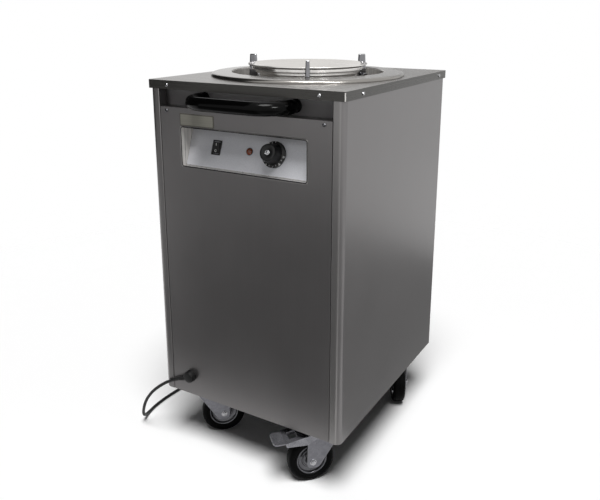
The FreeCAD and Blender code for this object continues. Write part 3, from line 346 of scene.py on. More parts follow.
@dataclass(frozen=True)
class Plated(Finish):
    """Zinc or chrome plating: clear reflections, with cloudy patches where the bath was uneven."""

    patch_colour: str
    roughness: float
    patch_mm: float = 9.0
    patch_share: float = 0.5
    edge_share: float = 0.35
    metallic: float = 1.0

    PATCH_DETAIL = 4.0
    PATCH_ROUGHNESS = 0.6
    PATCH_BAND = {"From Min": 0.35, "From Max": 0.65}
    EDGE_COLOUR = "#e2e2e2"
    ROUGH_SHARES = (0.8, 1.3)

    def surface(self, tree: Tree, place: Socket) -> dict:
        """Adds the patches and the worn edges.

        Args:
            tree: The material's tree.
            place: Object coordinates.

        Returns:
            Values and links for the shader's inputs.
        """
        patch = add_node(tree, "ShaderNodeTexNoise",
                         {"Vector": place, "Scale": 1 / (self.patch_mm * MM), "Detail": self.PATCH_DETAIL,
                          "Roughness": self.PATCH_ROUGHNESS}).outputs[0]
        cloud = add_node(tree, "ShaderNodeMapRange",
                         {"Value": patch, **self.PATCH_BAND, "To Min": 0.0, "To Max": self.patch_share})
        base = add_node(tree, "ShaderNodeMix",
                        {0: cloud.outputs[0], 6: linear(self.colour), 7: linear(self.patch_colour)},
                        data_type="RGBA")
        edge = add_node(tree, "ShaderNodeAttribute", attribute_name="edge")
        tint_mark = add_node(tree, "ShaderNodeMath", {0: edge.outputs["Fac"], 1: self.edge_share},
                        operation="MULTIPLY")
        paint = add_node(tree, "ShaderNodeMix",
                         {0: tint_mark.outputs[0], 6: base.outputs[2], 7: linear(self.EDGE_COLOUR)},
                         data_type="RGBA")
        smooth, coarse = self.ROUGH_SHARES
        rough = add_node(tree, "ShaderNodeMapRange",
                         {"Value": patch, **NOISE_BAND,
                          "To Min": self.roughness * smooth, "To Max": self.roughness * coarse})
        return {"Base Color": paint.outputs[2], "Roughness": rough.outputs[0], "Metallic": self.metallic}


@dataclass(frozen=True)
class SilverFilm(Finish):
    """Printed polyester film: a silver ink with fine metal flake under a satin skin."""

    flake_colour: str
    flake_mm: float = 1.4

    CLOUD_MM = 45.0
    CLOUD_DETAIL = 2.0
    METALLIC = 0.35
    ROUGHNESS = 0.42

    def surface(self, tree: Tree, place: Socket) -> dict:
        """Adds the flake, drawn coarser than real so that it shows.

        Args:
            tree: The material's tree.
            place: Object coordinates.

        Returns:
            Values and links for the shader's inputs.
        """
        flake = add_node(tree, "ShaderNodeTexVoronoi",
                         {"Vector": place, "Scale": 1 / (self.flake_mm * MM)})
        cloud = add_node(tree, "ShaderNodeTexNoise",
                         {"Vector": place, "Scale": 1 / (self.CLOUD_MM * MM), "Detail": self.CLOUD_DETAIL})
        glint = add_node(tree, "ShaderNodeMath", {0: flake.outputs["Color"], 1: cloud.outputs[0]},
                         operation="MULTIPLY")
        paint = add_node(tree, "ShaderNodeMix",
                         {0: glint.outputs[0], 6: linear(self.colour), 7: linear(self.flake_colour)},
                         data_type="RGBA")
        return {"Base Color": paint.outputs[2], "Metallic": self.METALLIC, "Roughness": self.ROUGHNESS}


@dataclass(frozen=True)
class Lens(Finish):
    """Clear tinted acrylic with a moulded prism inside: glossy, with a lighter heart."""

    heart: str
    prism_mm: float = 1.6

    FACET_BAND = {"From Min": 0.0, "From Max": 0.7}
    HEART_SHARE = 0.55
    ROUGHNESS = 0.12
    IOR = 1.49
    COAT = 0.12
    COAT_ROUGHNESS = 0.03

    def surface(self, tree: Tree, place: Socket) -> dict:
        """Adds the prism's facets.

        Args:
            tree: The material's tree.
            place: Object coordinates.

        Returns:
            Values and links for the shader's inputs.
        """
        prism = add_node(tree, "ShaderNodeTexVoronoi",
                         {"Vector": place, "Scale": 1 / (self.prism_mm * MM)})
        facet = add_node(tree, "ShaderNodeMapRange",
                         {"Value": prism.outputs["Distance"], **self.FACET_BAND,
                          "To Min": self.HEART_SHARE, "To Max": 0.0})
        paint = add_node(tree, "ShaderNodeMix",
                         {0: facet.outputs[0], 6: linear(self.colour), 7: linear(self.heart)},
                         data_type="RGBA")
        return {"Base Color": paint.outputs[2], "Roughness": self.ROUGHNESS, "IOR": self.IOR,
                "Coat Weight": self.COAT, "Coat Roughness": self.COAT_ROUGHNESS}


@dataclass(frozen=True)
class Ink(Finish):
    """Screen-printed ink, slightly uneven."""

    thin_colour: str

    UNEVEN_MM = 1.5
    UNEVEN_DETAIL = 2.0
    ROUGHNESS = 0.5

    def surface(self, tree: Tree, place: Socket) -> dict:
        """Adds the thinner places.

        Args:
            tree: The material's tree.
            place: Object coordinates.

        Returns:
            Values and links for the shader's inputs.
        """
        uneven = add_node(tree, "ShaderNodeTexNoise",
                          {"Vector": place, "Scale": 1 / (self.UNEVEN_MM * MM),
                           "Detail": self.UNEVEN_DETAIL})
        paint = add_node(tree, "ShaderNodeMix",
                         {0: uneven.outputs[0], 6: linear(self.colour), 7: linear(self.thin_colour)},
                         data_type="RGBA")
        return {"Base Color": paint.outputs[2], "Roughness": self.ROUGHNESS}


# Satin stainless sheet, belt-ground: lines too fine to see one by one, drawn coarser so that they show
WORKTOP_STEEL = BrushedSteel("satin_stainless_worktop", "#7f7c79", Grain.ALONG_X, 0.30, contrast=0.08)
# Its edge colour also covers the right panel's front return: a painted highlight
CABINET_STEEL = BrushedSteel("satin_stainless_cabinet", "#787676", Grain.ALONG_Z, 0.33, contrast=0.012,
                             edge_colour="#9c9a99", relief_mm=0.0006, swing=0.25)
# Turned stainless ring and pressed dish: rings of polish about the well's axis
RING_STEEL = BrushedSteel("spun_stainless_ring", "#8f8c88", Grain.ROUND, 0.22, line_mm=1.6)
DISH_STEEL = BrushedSteel("pressed_stainless_dish", "#d4d1cd", Grain.ROUND, 0.22, line_mm=2.0,
                          contrast=0.03, metallic=0.86, relief_mm=0.003)
# The dish's outer side, brighter than its face though it is the same pressed sheet: a painted light that
# lifts it out of the shade under the rim
DISH_SIDE_LIGHT_PAINT = BrushedSteel("dish_side_painted_light", "#f6f4f1", Grain.LEVEL, 0.20, line_mm=2.0, contrast=0.03,
                         metallic=0.85, relief_mm=0.003)
# The worktop's folded edge, brushed level all round, and darker than the top of the same sheet: a painted
# shade
SKIRT_SHADE_STEEL = BrushedSteel("satin_stainless_skirt_painted_shade", "#4e4d4b", Grain.LEVEL, 0.30, contrast=0.06)
# Painted highlight: a near-white strip down each corner of that edge, standing for the light that the
# rounded corner catches
CORNER_HIGHLIGHT_PAINT = Plated("corner_painted_highlight", "#f2f0ec", "#cfccc8", 0.22, metallic=0.35)
# Galvanised sheet inside the well, duller than what shows; on the ring's own inner wall it is a painted
# light, paler than the ring's stainless
WELL_STEEL = BrushedSteel("galvanised_well_and_painted_ring_wall", "#cfccc8", Grain.ALONG_Z, 0.36, line_mm=6.0, contrast=0.2,
                          metallic=0.3)
# Tin-plated sheet of the sunk tray and its side walls: pale, with drawing streaks down the walls
TRAY_STEEL = BrushedSteel("tinned_sheet_tray", "#aeaca9", Grain.ALONG_Z, 0.30, line_mm=5.0,
                          contrast=0.25, metallic=0.6, edge_colour="#c4c3c1")
# Painted highlight: a paler, less metallic lining with the same streaks, laid over both side walls of the
# recess for the light they catch
CHEEK_HIGHLIGHT_PAINT = BrushedSteel("recess_cheek_painted_highlight", "#dedbd6", Grain.ALONG_Z, 0.30, line_mm=5.0,
                           contrast=0.3, metallic=0.2)
# Anodised aluminium sheet: a warm dull grey, darker round its border
BADGE_METAL = BrushedSteel("anodised_aluminium_badge", "#8a887f", Grain.ALONG_X, 0.38, line_mm=1.2,
                           metallic=0.6, edge_colour="#4f4d47", edge_share=0.8)
# Drawn carbon steel wire: dull grey, with lines along it
SPRING_WIRE = BrushedSteel("drawn_spring_wire", "#83817f", Grain.ALONG_Z, 0.35)
# Powder-coated mild steel: satin, slightly grainy
DARK_PAINT = Moulded("dark_powder_coat", "#a2a0a1", 0.45, grit_mm=1.0, bloom="#b0afaf")
# The underside in black: a painted shade that deepens the shadow under the cabinet
BASE_SHADE_BLACK = Moulded("base_pan_painted_shade", "#121212", 0.7, grit_mm=2.0, bloom="#1e1e1e", specular=0.1)
# Gloss-moulded phenolic tube: black with clear highlights
HANDLE_BLACK = Moulded("gloss_black_phenolic", "#040404", 0.15, grit_mm=2.2, relief_mm=0.003,
                       bloom="#0c0c0c", specular=0.08)
# Moulded ABS of the switch and the dial: black with a satin skin
CONTROL_BLACK = Moulded("satin_black_abs", "#09090a", 0.30, grit_mm=0.8, relief_mm=0.012,
                        bloom="#222223", specular=0.35)
# Moulded nylon of the gland, the seal and the plug: black and duller
GLAND_BLACK = Moulded("moulded_black_nylon", "#080808", 0.42, grit_mm=0.9, bloom="#1c1c1c",
                      specular=0.25)
# Extruded rubber sheath and moulded tyre rubber: black, soft and matt
CORD_RUBBER = Moulded("black_rubber_sheath", "#0b0b0b", 0.5, grit_mm=0.9, relief_mm=0.02,
                      bloom="#1e1e1e", specular=0.3)
TYRE_RUBBER = Moulded("black_tyre_rubber", "#050505", 0.5, grit_mm=1.0, bloom="#0d0d0d", specular=0.04)
# Moulded polyamide of what is inside: plain dark grey
INNER_PLASTIC = Moulded("grey_moulded_polyamide", "#343436", 0.5)
# Zinc-plated pressed steel: grey, cloudy, half bright
ZINC = Plated("bright_zinc_plate", "#77777c", "#58585d", 0.30, metallic=0.75)
# The pedals' plating, lighter than the forks' though it is the same zinc: a painted light that lifts the
# pedals out of the cabinet's shadow
PEDAL_LIGHT_ZINC = Plated("zinc_pedal_painted_light", "#88888d", "#626267", 0.26, metallic=0.7)
# Bright chromium on screws and bolts, and duller on the posts and the wheels' rims
CHROME = Plated("polished_chrome", "#a9a9ab", "#8c8c90", 0.08, patch_mm=25.0)
POST_CHROME = Plated("polished_post", "#8d8d90", "#6a6a6e", 0.10, patch_mm=14.0)
RIM_CHROME = Plated("polished_rim", "#5c5c5f", "#3e3e41", 0.15, patch_mm=16.0, metallic=0.9)
# Turned aluminium: pale and fairly bright
CAP_METAL = Plated("turned_aluminium_cap", "#b9b9bb", "#97979a", 0.18, patch_mm=4.0)
# Silver ink on polyester: a pale satin with a faint glint
FILM = SilverFilm("silver_printed_film", "#cccdd2", "#e3e3e8")
# Tinted acrylic, unlit: a dark orange with a lighter heart
LAMP_LENS = Lens("orange_acrylic_lens", "#8c3a12", "#b85e2a")
# White screen ink: opaque, with thinner places
WHITE_INK = Ink("white_dial_ink", "#f6f6f4", "#dededc")


class Workpiece:
    """A mesh on the bench, in millimetres, shaped by bmesh operators."""

    # Vertices nearer than this are one, on the bench and in a copy of a CAD node
    MERGE = 0.001
    CAD_MERGE = 0.002
    # Faces that bend by less than this are one flat area
    FLAT_ANGLE = math.radians(0.5)

    def __init__(self) -> None:
        """Starts with an empty mesh and a layer that marks faces for the edge colour: softened edges, and
        others such as a painted highlight.
        """
        self.bm = bmesh.new()
        self.tint_mark = self.bm.faces.layers.float.new("edge")

    def rectangle(self, width: float, height: float, radius: float = 0.0, middle: Flat = (0.0, 0.0),
                  segments: int = 5) -> Face:
        """Adds a flat face in the XY plane with rounded corners.

        Args:
            width: Size along X.
            height: Size along Y.
            radius: Corner radius, or zero for square corners.
            middle: Its centre.
            segments: Steps in each corner.

        Returns:
            The face.
        """
        x, y = width / 2, height / 2
        corners = [self.bm.verts.new((middle[0] + a * x, middle[1] + b * y, 0.0))
                   for a, b in ((-1, -1), (1, -1), (1, 1), (-1, 1))]
        face = self.bm.faces.new(corners)
        if radius > 0:
            made = bmesh.ops.bevel(self.bm, geom=corners, offset=radius, segments=segments, profile=0.5,
                                   affect="VERTICES", material=-1)
            face = made["verts"][0].link_faces[0]
        return face

    def disc(self, radius: float, segments: int, middle: Flat = (0.0, 0.0), turn: float = 0.0) -> Face:
        """Adds a flat round or regular face in the XY plane.

        Args:
            radius: Its radius.
            segments: Corners round it.
            middle: Its centre.
            turn: Angle of its first corner.

        Returns:
            The face.
        """
        place = Matrix.Translation((*middle, 0.0)) @ Matrix.Rotation(turn, 4, "Z")
        made = bmesh.ops.create_circle(self.bm, cap_ends=True, radius=radius, segments=segments,
                                       matrix=place)
        return made["verts"][0].link_faces[0]

    def holed_sheet(self, outer: Face, holes: Iterable[Face]) -> list[list[Edge]]:
        """Turns an outer face and the faces of its holes to one flat sheet.

        Args:
            outer: The face whose border the sheet keeps.
            holes: Faces that are cut out of it.

        Returns:
            The border edges of the sheet, then those of each hole.
        """
        faces = [outer, *holes]
        borders = [list(face.edges) for face in faces]
        bmesh.ops.delete(self.bm, geom=faces, context="FACES_ONLY")
        every = [edge for border in borders for edge in border]
        bmesh.ops.triangle_fill(self.bm, use_beauty=True, edges=every, normal=(0.0, 0.0, 1.0))
        return borders

    def fold(self, edges: Sequence[Edge], move: Point) -> list[Edge]:
        """Extrudes border edges to a wall.

        Args:
            edges: Border edges.
            move: How far and which way the wall goes.

        Returns:
            The edges at the wall's free end.
        """
        made = bmesh.ops.extrude_edge_only(self.bm, edges=list(edges))["geom"]
        verts = [item for item in made if isinstance(item, bmesh.types.BMVert)]
        bmesh.ops.translate(self.bm, verts=verts, vec=move)
        ends = set(verts)
        return [item for item in made
                if isinstance(item, Edge) and all(vert in ends for vert in item.verts)]

    def raise_face(self, face: Face, move: Point, scale: float | Flat = 1.0, keep: bool = False) -> Face:
        """Extrudes a face, and scales its new end about its own middle.

        Args:
            face: The face to extrude.
            move: How far and which way it goes.
            scale: Scale of the new end, one for both ways or one for X and one for Y.
            keep: Whether the first face stays, as the bottom of a closed solid.

        Returns:
            The new end face.
        """
        made = bmesh.ops.extrude_face_region(self.bm, geom=[face], use_keep_orig=keep)["geom"]
        verts = [item for item in made if isinstance(item, bmesh.types.BMVert)]
        end = next(item for item in made if isinstance(item, Face))
        bmesh.ops.translate(self.bm, verts=verts, vec=move)
        across, along = (scale, scale) if isinstance(scale, (int, float)) else scale
        middle = end.calc_center_bounds()
        bmesh.ops.scale(self.bm, verts=verts, vec=(across, along, 1.0),
                        space=Matrix.Translation(-middle))
        return end

    def close_up(self) -> "Workpiece":
        """Merges doubled vertices, then turns the faces outwards.

        Returns:
            The workpiece itself.
        """
        bmesh.ops.remove_doubles(self.bm, verts=self.bm.verts, dist=self.MERGE)
        bmesh.ops.recalc_face_normals(self.bm, faces=self.bm.faces)
        return self

    def turned(self, profile: Sequence[Flat], steps: int) -> "Workpiece":
        """Spins a profile of radius and height pairs about Z.

        Args:
            profile: The outline, open where it meets the axis and closed where it doesn't.
            steps: Steps in the full turn.

        Returns:
            The workpiece itself.
        """
        verts = [self.bm.verts.new((radius, 0.0, height)) for radius, height in profile]
        pairs = list(zip(verts, verts[1:]))
        if profile[0][0] > 0 and profile[-1][0] > 0:
            pairs.append((verts[-1], verts[0]))
        edges = [self.bm.edges.new(pair) for pair in pairs]
        bmesh.ops.spin(self.bm, geom=verts + edges, cent=(0, 0, 0), axis=UP, angle=math.tau,
                       steps=steps, use_merge=True)
        return self.close_up()

    def soften(self, offset: float, segments: int = 2,
               edges: Iterable[Edge] | None = None) -> "Workpiece":
        """Rounds edges and marks what it makes as worn.

        Args:
            offset: How far the round reaches from the edge.
            segments: Steps in the round.
            edges: The edges to round, or none for all the sharp ones.

        Returns:
            The workpiece itself.
        """
        if edges is None:
            edges = [edge for edge in self.bm.edges
                     if len(edge.link_faces) == 2 and edge.calc_face_angle(0.0) > SHARP_ANGLE]
        made = bmesh.ops.bevel(self.bm, geom=list(edges), offset=offset, segments=segments, profile=0.5,
                               affect="EDGES", material=-1, clamp_overlap=True)
        for face in made["faces"]:
            face[self.tint_mark] = 1.0
        return self

    def thicken(self, thickness: float) -> "Workpiece":
        """Gives a sheet its thickness against its normals, which stay as they are."""
        bmesh.ops.solidify(self.bm, geom=list(self.bm.faces), thickness=thickness)
        return self

    def place(self, matrix: Matrix) -> "Workpiece":
        """Moves the whole mesh, and keeps its faces outwards.

        Args:
            matrix: Where it goes.

        Returns:
            The workpiece itself.
        """
        bmesh.ops.transform(self.bm, matrix=matrix, verts=self.bm.verts)
        if matrix.determinant() < 0:
            bmesh.ops.reverse_faces(self.bm, faces=self.bm.faces)
        return self

    def join(self, other: "Workpiece", matrix: Matrix | None = None) -> "Workpiece":
        """Adds a copy of another workpiece.

        Args:
            other: The workpiece to copy.
            matrix: Where the copy goes.

        Returns:
            The workpiece itself.
        """
        mesh = bpy.data.meshes.new("bench")
        other.bm.to_mesh(mesh)
        if matrix is not None:
            mesh.transform(matrix)
        self.bm.from_mesh(mesh)
        bpy.data.meshes.remove(mesh)
        return self

    def copy_of(self, node: str) -> "Workpiece":
        """Takes in a merged copy of a CAD node, with flat areas joined.

        Args:
            node: The CAD node's name.

        Returns:
            The workpiece itself.
        """
        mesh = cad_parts[node].data.copy()
        mesh.transform(Matrix.Scale(1 / MM, 4))
        self.bm.from_mesh(mesh)
        bpy.data.meshes.remove(mesh)
        bmesh.ops.remove_doubles(self.bm, verts=self.bm.verts, dist=self.CAD_MERGE)
        bmesh.ops.dissolve_limit(self.bm, angle_limit=self.FLAT_ANGLE, verts=self.bm.verts,
                                 edges=self.bm.edges)
        return self

    def piece(self, name: str, finish: Finish, body: str, slot: str,
              replaces: Sequence[str] = ()) -> Item:
        """Makes the finished piece and lets it ride on its body.

        Args:
            name: The piece's name.
            finish: What it is made of.
            body: The CAD body that it moves with.
            slot: The record's material slot; not used.
            replaces: CAD nodes that it stands for.

        Returns:
            The piece.
        """
        bmesh.ops.scale(self.bm, verts=self.bm.verts, vec=(MM, MM, MM))
        mesh = bpy.data.meshes.new(name)
        self.bm.to_mesh(mesh)
        self.bm.free()
        mesh.polygons.foreach_set("use_smooth", [True] * len(mesh.polygons))
        mesh.set_sharp_from_angle(angle=SHARP_ANGLE)
        mesh.materials.append(finish.material())
        item = scene_object(name, mesh)
        shading = item.modifiers.new("even_shading", "WEIGHTED_NORMAL")
        shading.keep_sharp = True
        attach(item, body)
        if replaces:
            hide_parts(*replaces)
        log.info("%s rides on %s in %s", name, body, finish.name)
        return item


def dress_node(node: str, finish: Finish) -> None:
    """Gives a CAD node that stays in view its finish.

    Args:
        node: The CAD node's name.
        finish: What it is made of.
    """
    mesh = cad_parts[node].data
    mesh.materials.clear()
    mesh.materials.append(finish.material())
    log.info("%s stays, in %s", node, finish.name)


def second_finish(item: Item, finish: Finish,
                  chosen: Callable[[bpy.types.MeshPolygon], bool]) -> None:
    """Gives chosen faces of a piece another finish.

    Args:
        item: The piece.
        finish: What the chosen faces show.
        chosen: Tells whether a face takes it.
    """
    item.data.materials.append(finish.material())
    for polygon in item.data.polygons:
        polygon.material_index = int(chosen(polygon))


def soft_copy(node: str, finish: Finish, body: str, slot: str, offset: float,
              segments: int = 2) -> Item:
    """Makes a piece from a CAD node with its edges rounded.

    Args:
        node: The CAD node's name.
        finish: What it is made of.
        body: The body that it moves with.
        slot: The record's material slot.
        offset: How far the rounds reach.
        segments: Steps in the rounds.

    Returns:
        The piece.
    """
    bench = Workpiece().copy_of(node).soften(offset, segments)
    return bench.piece(f"{node}_skin", finish, body, slot, [node])


FACING_FRONT = Matrix.Rotation(math.pi / 2, 4, "X")
FACING_BACK = Matrix.Rotation(math.pi, 4, "Z") @ FACING_FRONT
FACING_RIGHT = Matrix.Rotation(math.pi / 2, 4, "Z") @ FACING_FRONT
FACING_LEFT = Matrix.Rotation(-math.pi / 2, 4, "Z") @ FACING_FRONT
FACING_DOWN = Matrix.Rotation(math.pi, 4, "X")


@dataclass
class CrossScrew:
    """A pan-head screw with a cross recess; its head stands up from the XY plane."""

    radius: float = 3.6
    height: float = 2.0
    recess: float = 1.2

    CORNERS = 16
    # How far each step rises, as a share of the height, and how its end is drawn in
    CROWN_SHARES = ((0.5, 1.0), (0.35, 0.84), (0.15, 0.75))
    BORDER_SHARE = 0.06
    ARM_SHARE = 0.3
    NOTCH_SHARE = 0.36
    FLOOR_SHARE = 0.8

    def build(self) -> Workpiece:
        """Makes the head from a round face, drawn in to a low crown and sunk in a cross.

        Returns:
            The head.
        """
        bench = Workpiece()
        face = bench.disc(self.radius, self.CORNERS, turn=math.pi / self.CORNERS)
        for number, (rise, scale) in enumerate(self.CROWN_SHARES):
            face = bench.raise_face(face, (0, 0, self.height * rise), scale, keep=number == 0)
        bmesh.ops.inset_individual(bench.bm, faces=[face], thickness=self.radius * self.BORDER_SHARE)
        for corner in face.verts:
            slope = abs(abs(corner.co.x) - abs(corner.co.y))
            if slope < self.radius * self.ARM_SHARE:
                corner.co.x *= self.NOTCH_SHARE
                corner.co.y *= self.NOTCH_SHARE
        bench.raise_face(face, (0, 0, -self.recess), self.FLOOR_SHARE)
        return bench


# How much further each screw of a set happens to be turned, in radians
SCREW_TURN = 0.7


def screw_set(name: str, places: Iterable[tuple[Point, Matrix]], finish: Finish, body: str, slot: str,
              screw: CrossScrew | None = None) -> Item:
    """Makes one piece of several like screws.

    Args:
        name: The piece's name.
        places: Where each head stands and which way it faces.
        finish: What they are made of.
        body: The body that they move with.
        slot: The record's material slot.
        screw: Their sizes.

    Returns:
        The piece.
    """
    head = (screw or CrossScrew()).build()
    bench = Workpiece()
    for number, (place, facing) in enumerate(places):
        turn = Matrix.Rotation(number * SCREW_TURN, 4, "Z")
        bench.join(head, Matrix.Translation(place) @ facing @ turn)
    return bench.piece(name, finish, body, slot)


@dataclass
class Cabinet:
    """The steel box: worktop, side, front and rear panels, rail, base, badge plate and screws."""

    width: float = 450.0
    depth: float = 518.0
    middle_y: float = MIDDLE_Y
    top: float = WORKTOP_LEVEL
    skirt: float = 17.5
    corner: float = 3.0
    edge_round: float = 1.6
    strip_radius: float = 2.0
    strip_proud: float = 0.15
    strip_gaps: Flat = (0.4, 1.8)
    sheet: float = 1.2
    overhang: float = 2.0
    hole_radius: float = 169.0
    panel_low: float = 131.0
    panel_high: float = 826.6
    panel_corner: float = 12.0
    front_return: float = 23.0
    rear_return: float = 18.0
    return_fold: float = 22.0
    return_round: float = 1.2
    front_half: float = 198.6
    front_high: float = 774.5
    front_face: float = FRONT_FACE_Y
    front_corner: float = 1.0
    front_round: float = 2.2
    rail_face: float = RAIL_FACE_Y
    window: tuple[float, float, float] = (296.6, 82.6, 696.0)
    window_corner: float = 5.0
    window_lip: float = 4.0
    window_round: float = 1.6
    gland_hole: tuple[float, float, float] = (-150.0, 176.0, 8.4)
    badge: tuple[float, float, float, float] = (-105.5, 751.5, 85.0, 25.0)
    badge_corner: float = 1.5
    badge_thick: float = 0.9
    badge_border: float = 2.0
    badge_sink: float = 0.3
    skirt_screws_x: Flat = (-176.0, 173.0)
    skirt_screws_y: Flat = (-161.0, 241.0)
    skirt_screws_drop: float = 0.6
    panel_screws_x: Flat = (-182.0, 182.0)
    panel_screws_z: float = 767.0
    rear_screws_x: Flat = (-213.0, 213.0)
    rear_screws_z: tuple[float, float, float] = (165.0, 480.0, 790.0)
    rear_round: float = 0.3
    rail_round: float = 0.8

    # A face stands when its normal rises or falls by less than this
    STANDING = 0.6
    # A face looks to the front when its normal's Y is below this
    FRONTAL = -0.9

    def worktop(self) -> None:
        """Folds the worktop from a holed sheet: a skirt all round and a collar at the well."""
        bench = Workpiece()
        outer = bench.rectangle(self.width, self.depth, self.corner)
        hole = bench.disc(self.hole_radius, segments=96)
        rim, collar = bench.holed_sheet(outer, [hole])
        bench.fold(rim, (0, 0, -self.skirt))
        bench.fold(collar, (0, 0, -self.sheet))
        bench.soften(self.edge_round, 3, rim)
        bench.thicken(self.sheet).place(Matrix.Translation((0, self.middle_y, self.top)))
        sheet = bench.piece("worktop_sheet", WORKTOP_STEEL, "cabinet", "worktop_steel", ["worktop"])
        # Painted shade: the sheet's standing faces take the darker skirt copy of its steel
        second_finish(sheet, SKIRT_SHADE_STEEL, lambda face: abs(face.normal.z) < self.STANDING)
        self.corner_highlight_strips()

    def corner_highlight_strips(self) -> None:
        """Lays a near-white strip down each corner of the skirt, a painted highlight."""
        bench = Workpiece()
        inset = self.corner - (self.corner + self.strip_proud - self.strip_radius) / math.sqrt(2)
        low_gap, high_gap = self.strip_gaps
        bar = Workpiece()
        face = bar.disc(self.strip_radius, segments=32)
        bar.raise_face(face, (0, 0, self.skirt - low_gap - high_gap), keep=True)
        for x, y in ((-1, -1), (1, -1), (-1, 1), (1, 1)):
            middle = ((self.width / 2 - inset) * x, self.middle_y + (self.depth / 2 - inset) * y)
            bench.join(bar, Matrix.Translation((*middle, self.top - self.skirt + low_gap)))
        bench.piece("corner_highlight_strips", CORNER_HIGHLIGHT_PAINT, "cabinet", "worktop_steel")

    def side_panel(self, name: str, node: str, side: int) -> None:
        """Folds a side panel with its rounded corners and its front and rear returns, the right one's
        front return lighter: a painted highlight.

        Args:
            name: The piece's name.
            node: The CAD node that it stands for.
            side: 1 on the right, -1 on the left.
        """
        bench = Workpiece()
        front = self.middle_y - self.depth / 2 + self.overhang
        back = self.middle_y + self.depth / 2 - self.overhang
        out = self.width / 2 - self.overhang
        edge = out - self.front_return
        plan = [(edge, front + self.return_fold), (edge, front), (out, front), (out, back),
                (out - self.rear_return, back)]
        verts = [bench.bm.verts.new((x, y, self.panel_low)) for x, y in plan]
        edges = [bench.bm.edges.new(pair) for pair in zip(verts, verts[1:])]
        bench.fold(edges, (0, 0, self.panel_high - self.panel_low))
        bmesh.ops.recalc_face_normals(bench.bm, faces=bench.bm.faces)
        if sum(face.normal.x for face in bench.bm.faces) < 0:
            bmesh.ops.reverse_faces(bench.bm, faces=bench.bm.faces)
        folds = [fold for fold in bench.bm.edges if len(fold.link_faces) == 2]
        between = out - self.panel_corner
        corners = [fold for fold in folds if fold.verts[0].co.x > between]
        bench.soften(self.return_round, 3, [fold for fold in folds if fold.verts[0].co.x < between])
        bmesh.ops.bevel(bench.bm, geom=corners, offset=self.panel_corner, segments=8, profile=0.5,
                        affect="EDGES", material=-1)
        # Painted highlight: on the right panel, the faces that look to the front take the lighter edge
        # colour all over
        for face in bench.bm.faces:
            if side > 0 and face.normal.y < self.FRONTAL:
                face[bench.tint_mark] = 1.0
        bench.thicken(self.sheet)
        if side < 0:
            bench.place(Matrix.Scale(-1, 4, (1, 0, 0)))
        bench.piece(name, CABINET_STEEL, "cabinet", "cabinet_steel", [node])

    def front_panel(self) -> None:
        """Folds the front tray, with a rolled lip round the fascia's window and a hole for the gland."""
        bench = Workpiece()
        low, high = self.panel_low, self.front_high
        outer = bench.rectangle(self.front_half * 2, high - low, self.front_corner,
                                (0, (high + low) / 2), 3)
        wide, tall, level = self.window
        window = bench.rectangle(wide, tall, self.window_corner, (0, level))
        x, z, radius = self.gland_hole
        gland = bench.disc(radius, segments=32, middle=(x, z))
        rim, lip, bore = bench.holed_sheet(outer, [window, gland])
        bench.fold(rim, (0, 0, self.front_face - self.rail_face))
        bench.fold(lip, (0, 0, -self.window_lip))
        bench.fold(bore, (0, 0, -self.sheet * 2))
        bench.soften(self.front_round, 3, rim)
        bench.soften(self.window_round, 3, [edge for edge in lip if edge.is_valid])
        bench.thicken(self.sheet)
        bench.place(Matrix.Translation((0, self.front_face, 0)) @ FACING_FRONT)
        bench.piece("front_panel_sheet", CABINET_STEEL, "cabinet", "cabinet_steel", ["front_panel"])

    def badge_plate(self) -> None:
        """Makes the bare badge plate: a raised border round a plain sunk field."""
        x, z, wide, tall = self.badge
        bench = Workpiece()
        face = bench.rectangle(wide, tall, self.badge_corner, segments=3)
        face = bench.raise_face(face, (0, 0, self.badge_thick), keep=True)
        made = bmesh.ops.inset_individual(bench.bm, faces=[face], thickness=self.badge_border)
        for border in made["faces"]:
            border[bench.tint_mark] = 1.0
        bench.raise_face(face, (0, 0, -self.badge_sink))
        bench.place(Matrix.Translation((x, self.front_face, z)) @ FACING_FRONT)
        bench.piece("bare_badge_plate", BADGE_METAL, "cabinet", "fascia_silver")

    def screws(self) -> None:
        """Sets the cross-head screws in the skirt, the front panel's top and the rear returns."""
        front = self.middle_y - self.depth / 2
        back = self.middle_y + self.depth / 2
        side = self.width / 2
        level = self.top - self.skirt / 2 - self.skirt_screws_drop
        skirt = []
        for y, facing in ((front, FACING_FRONT), (back, FACING_BACK)):
            skirt += [((x, y, level), facing) for x in self.skirt_screws_x]
        for x, facing in ((side, FACING_RIGHT), (-side, FACING_LEFT)):
            skirt += [((x, y, level), facing) for y in self.skirt_screws_y]
        screw_set("skirt_screws", skirt, CHROME, "cabinet", "worktop_steel")
        panel = [((x, self.front_face, self.panel_screws_z), FACING_FRONT) for x in self.panel_screws_x]
        screw_set("front_panel_screws", panel, RIM_CHROME, "cabinet", "cabinet_steel")
        rear = [((x, back - self.overhang, z), FACING_BACK)
                for x in self.rear_screws_x for z in self.rear_screws_z]
        screw_set("rear_panel_screws", rear, ZINC, "cabinet", "cabinet_steel")

    def build(self) -> None:
        """Makes every piece of the box and dresses what stays from the frame."""
        self.worktop()
        self.side_panel("left_side_sheet", "left_side_panel", -1)
        self.side_panel("right_side_sheet", "right_side_panel", 1)
        self.front_panel()
        self.badge_plate()
        self.screws()
        soft_copy("rear_panel", CABINET_STEEL, "cabinet", "cabinet_steel", self.rear_round)
        soft_copy("front_rail", DARK_PAINT, "cabinet", "dark_rail", self.rail_round)
        # Painted shade: the base pan is black so that the shadow under the cabinet is deeper
        soft_copy("base_pan", BASE_SHADE_BLACK, "cabinet", "dark_rail", self.rail_round)
        dress_node("terminal_box", INNER_PLASTIC)


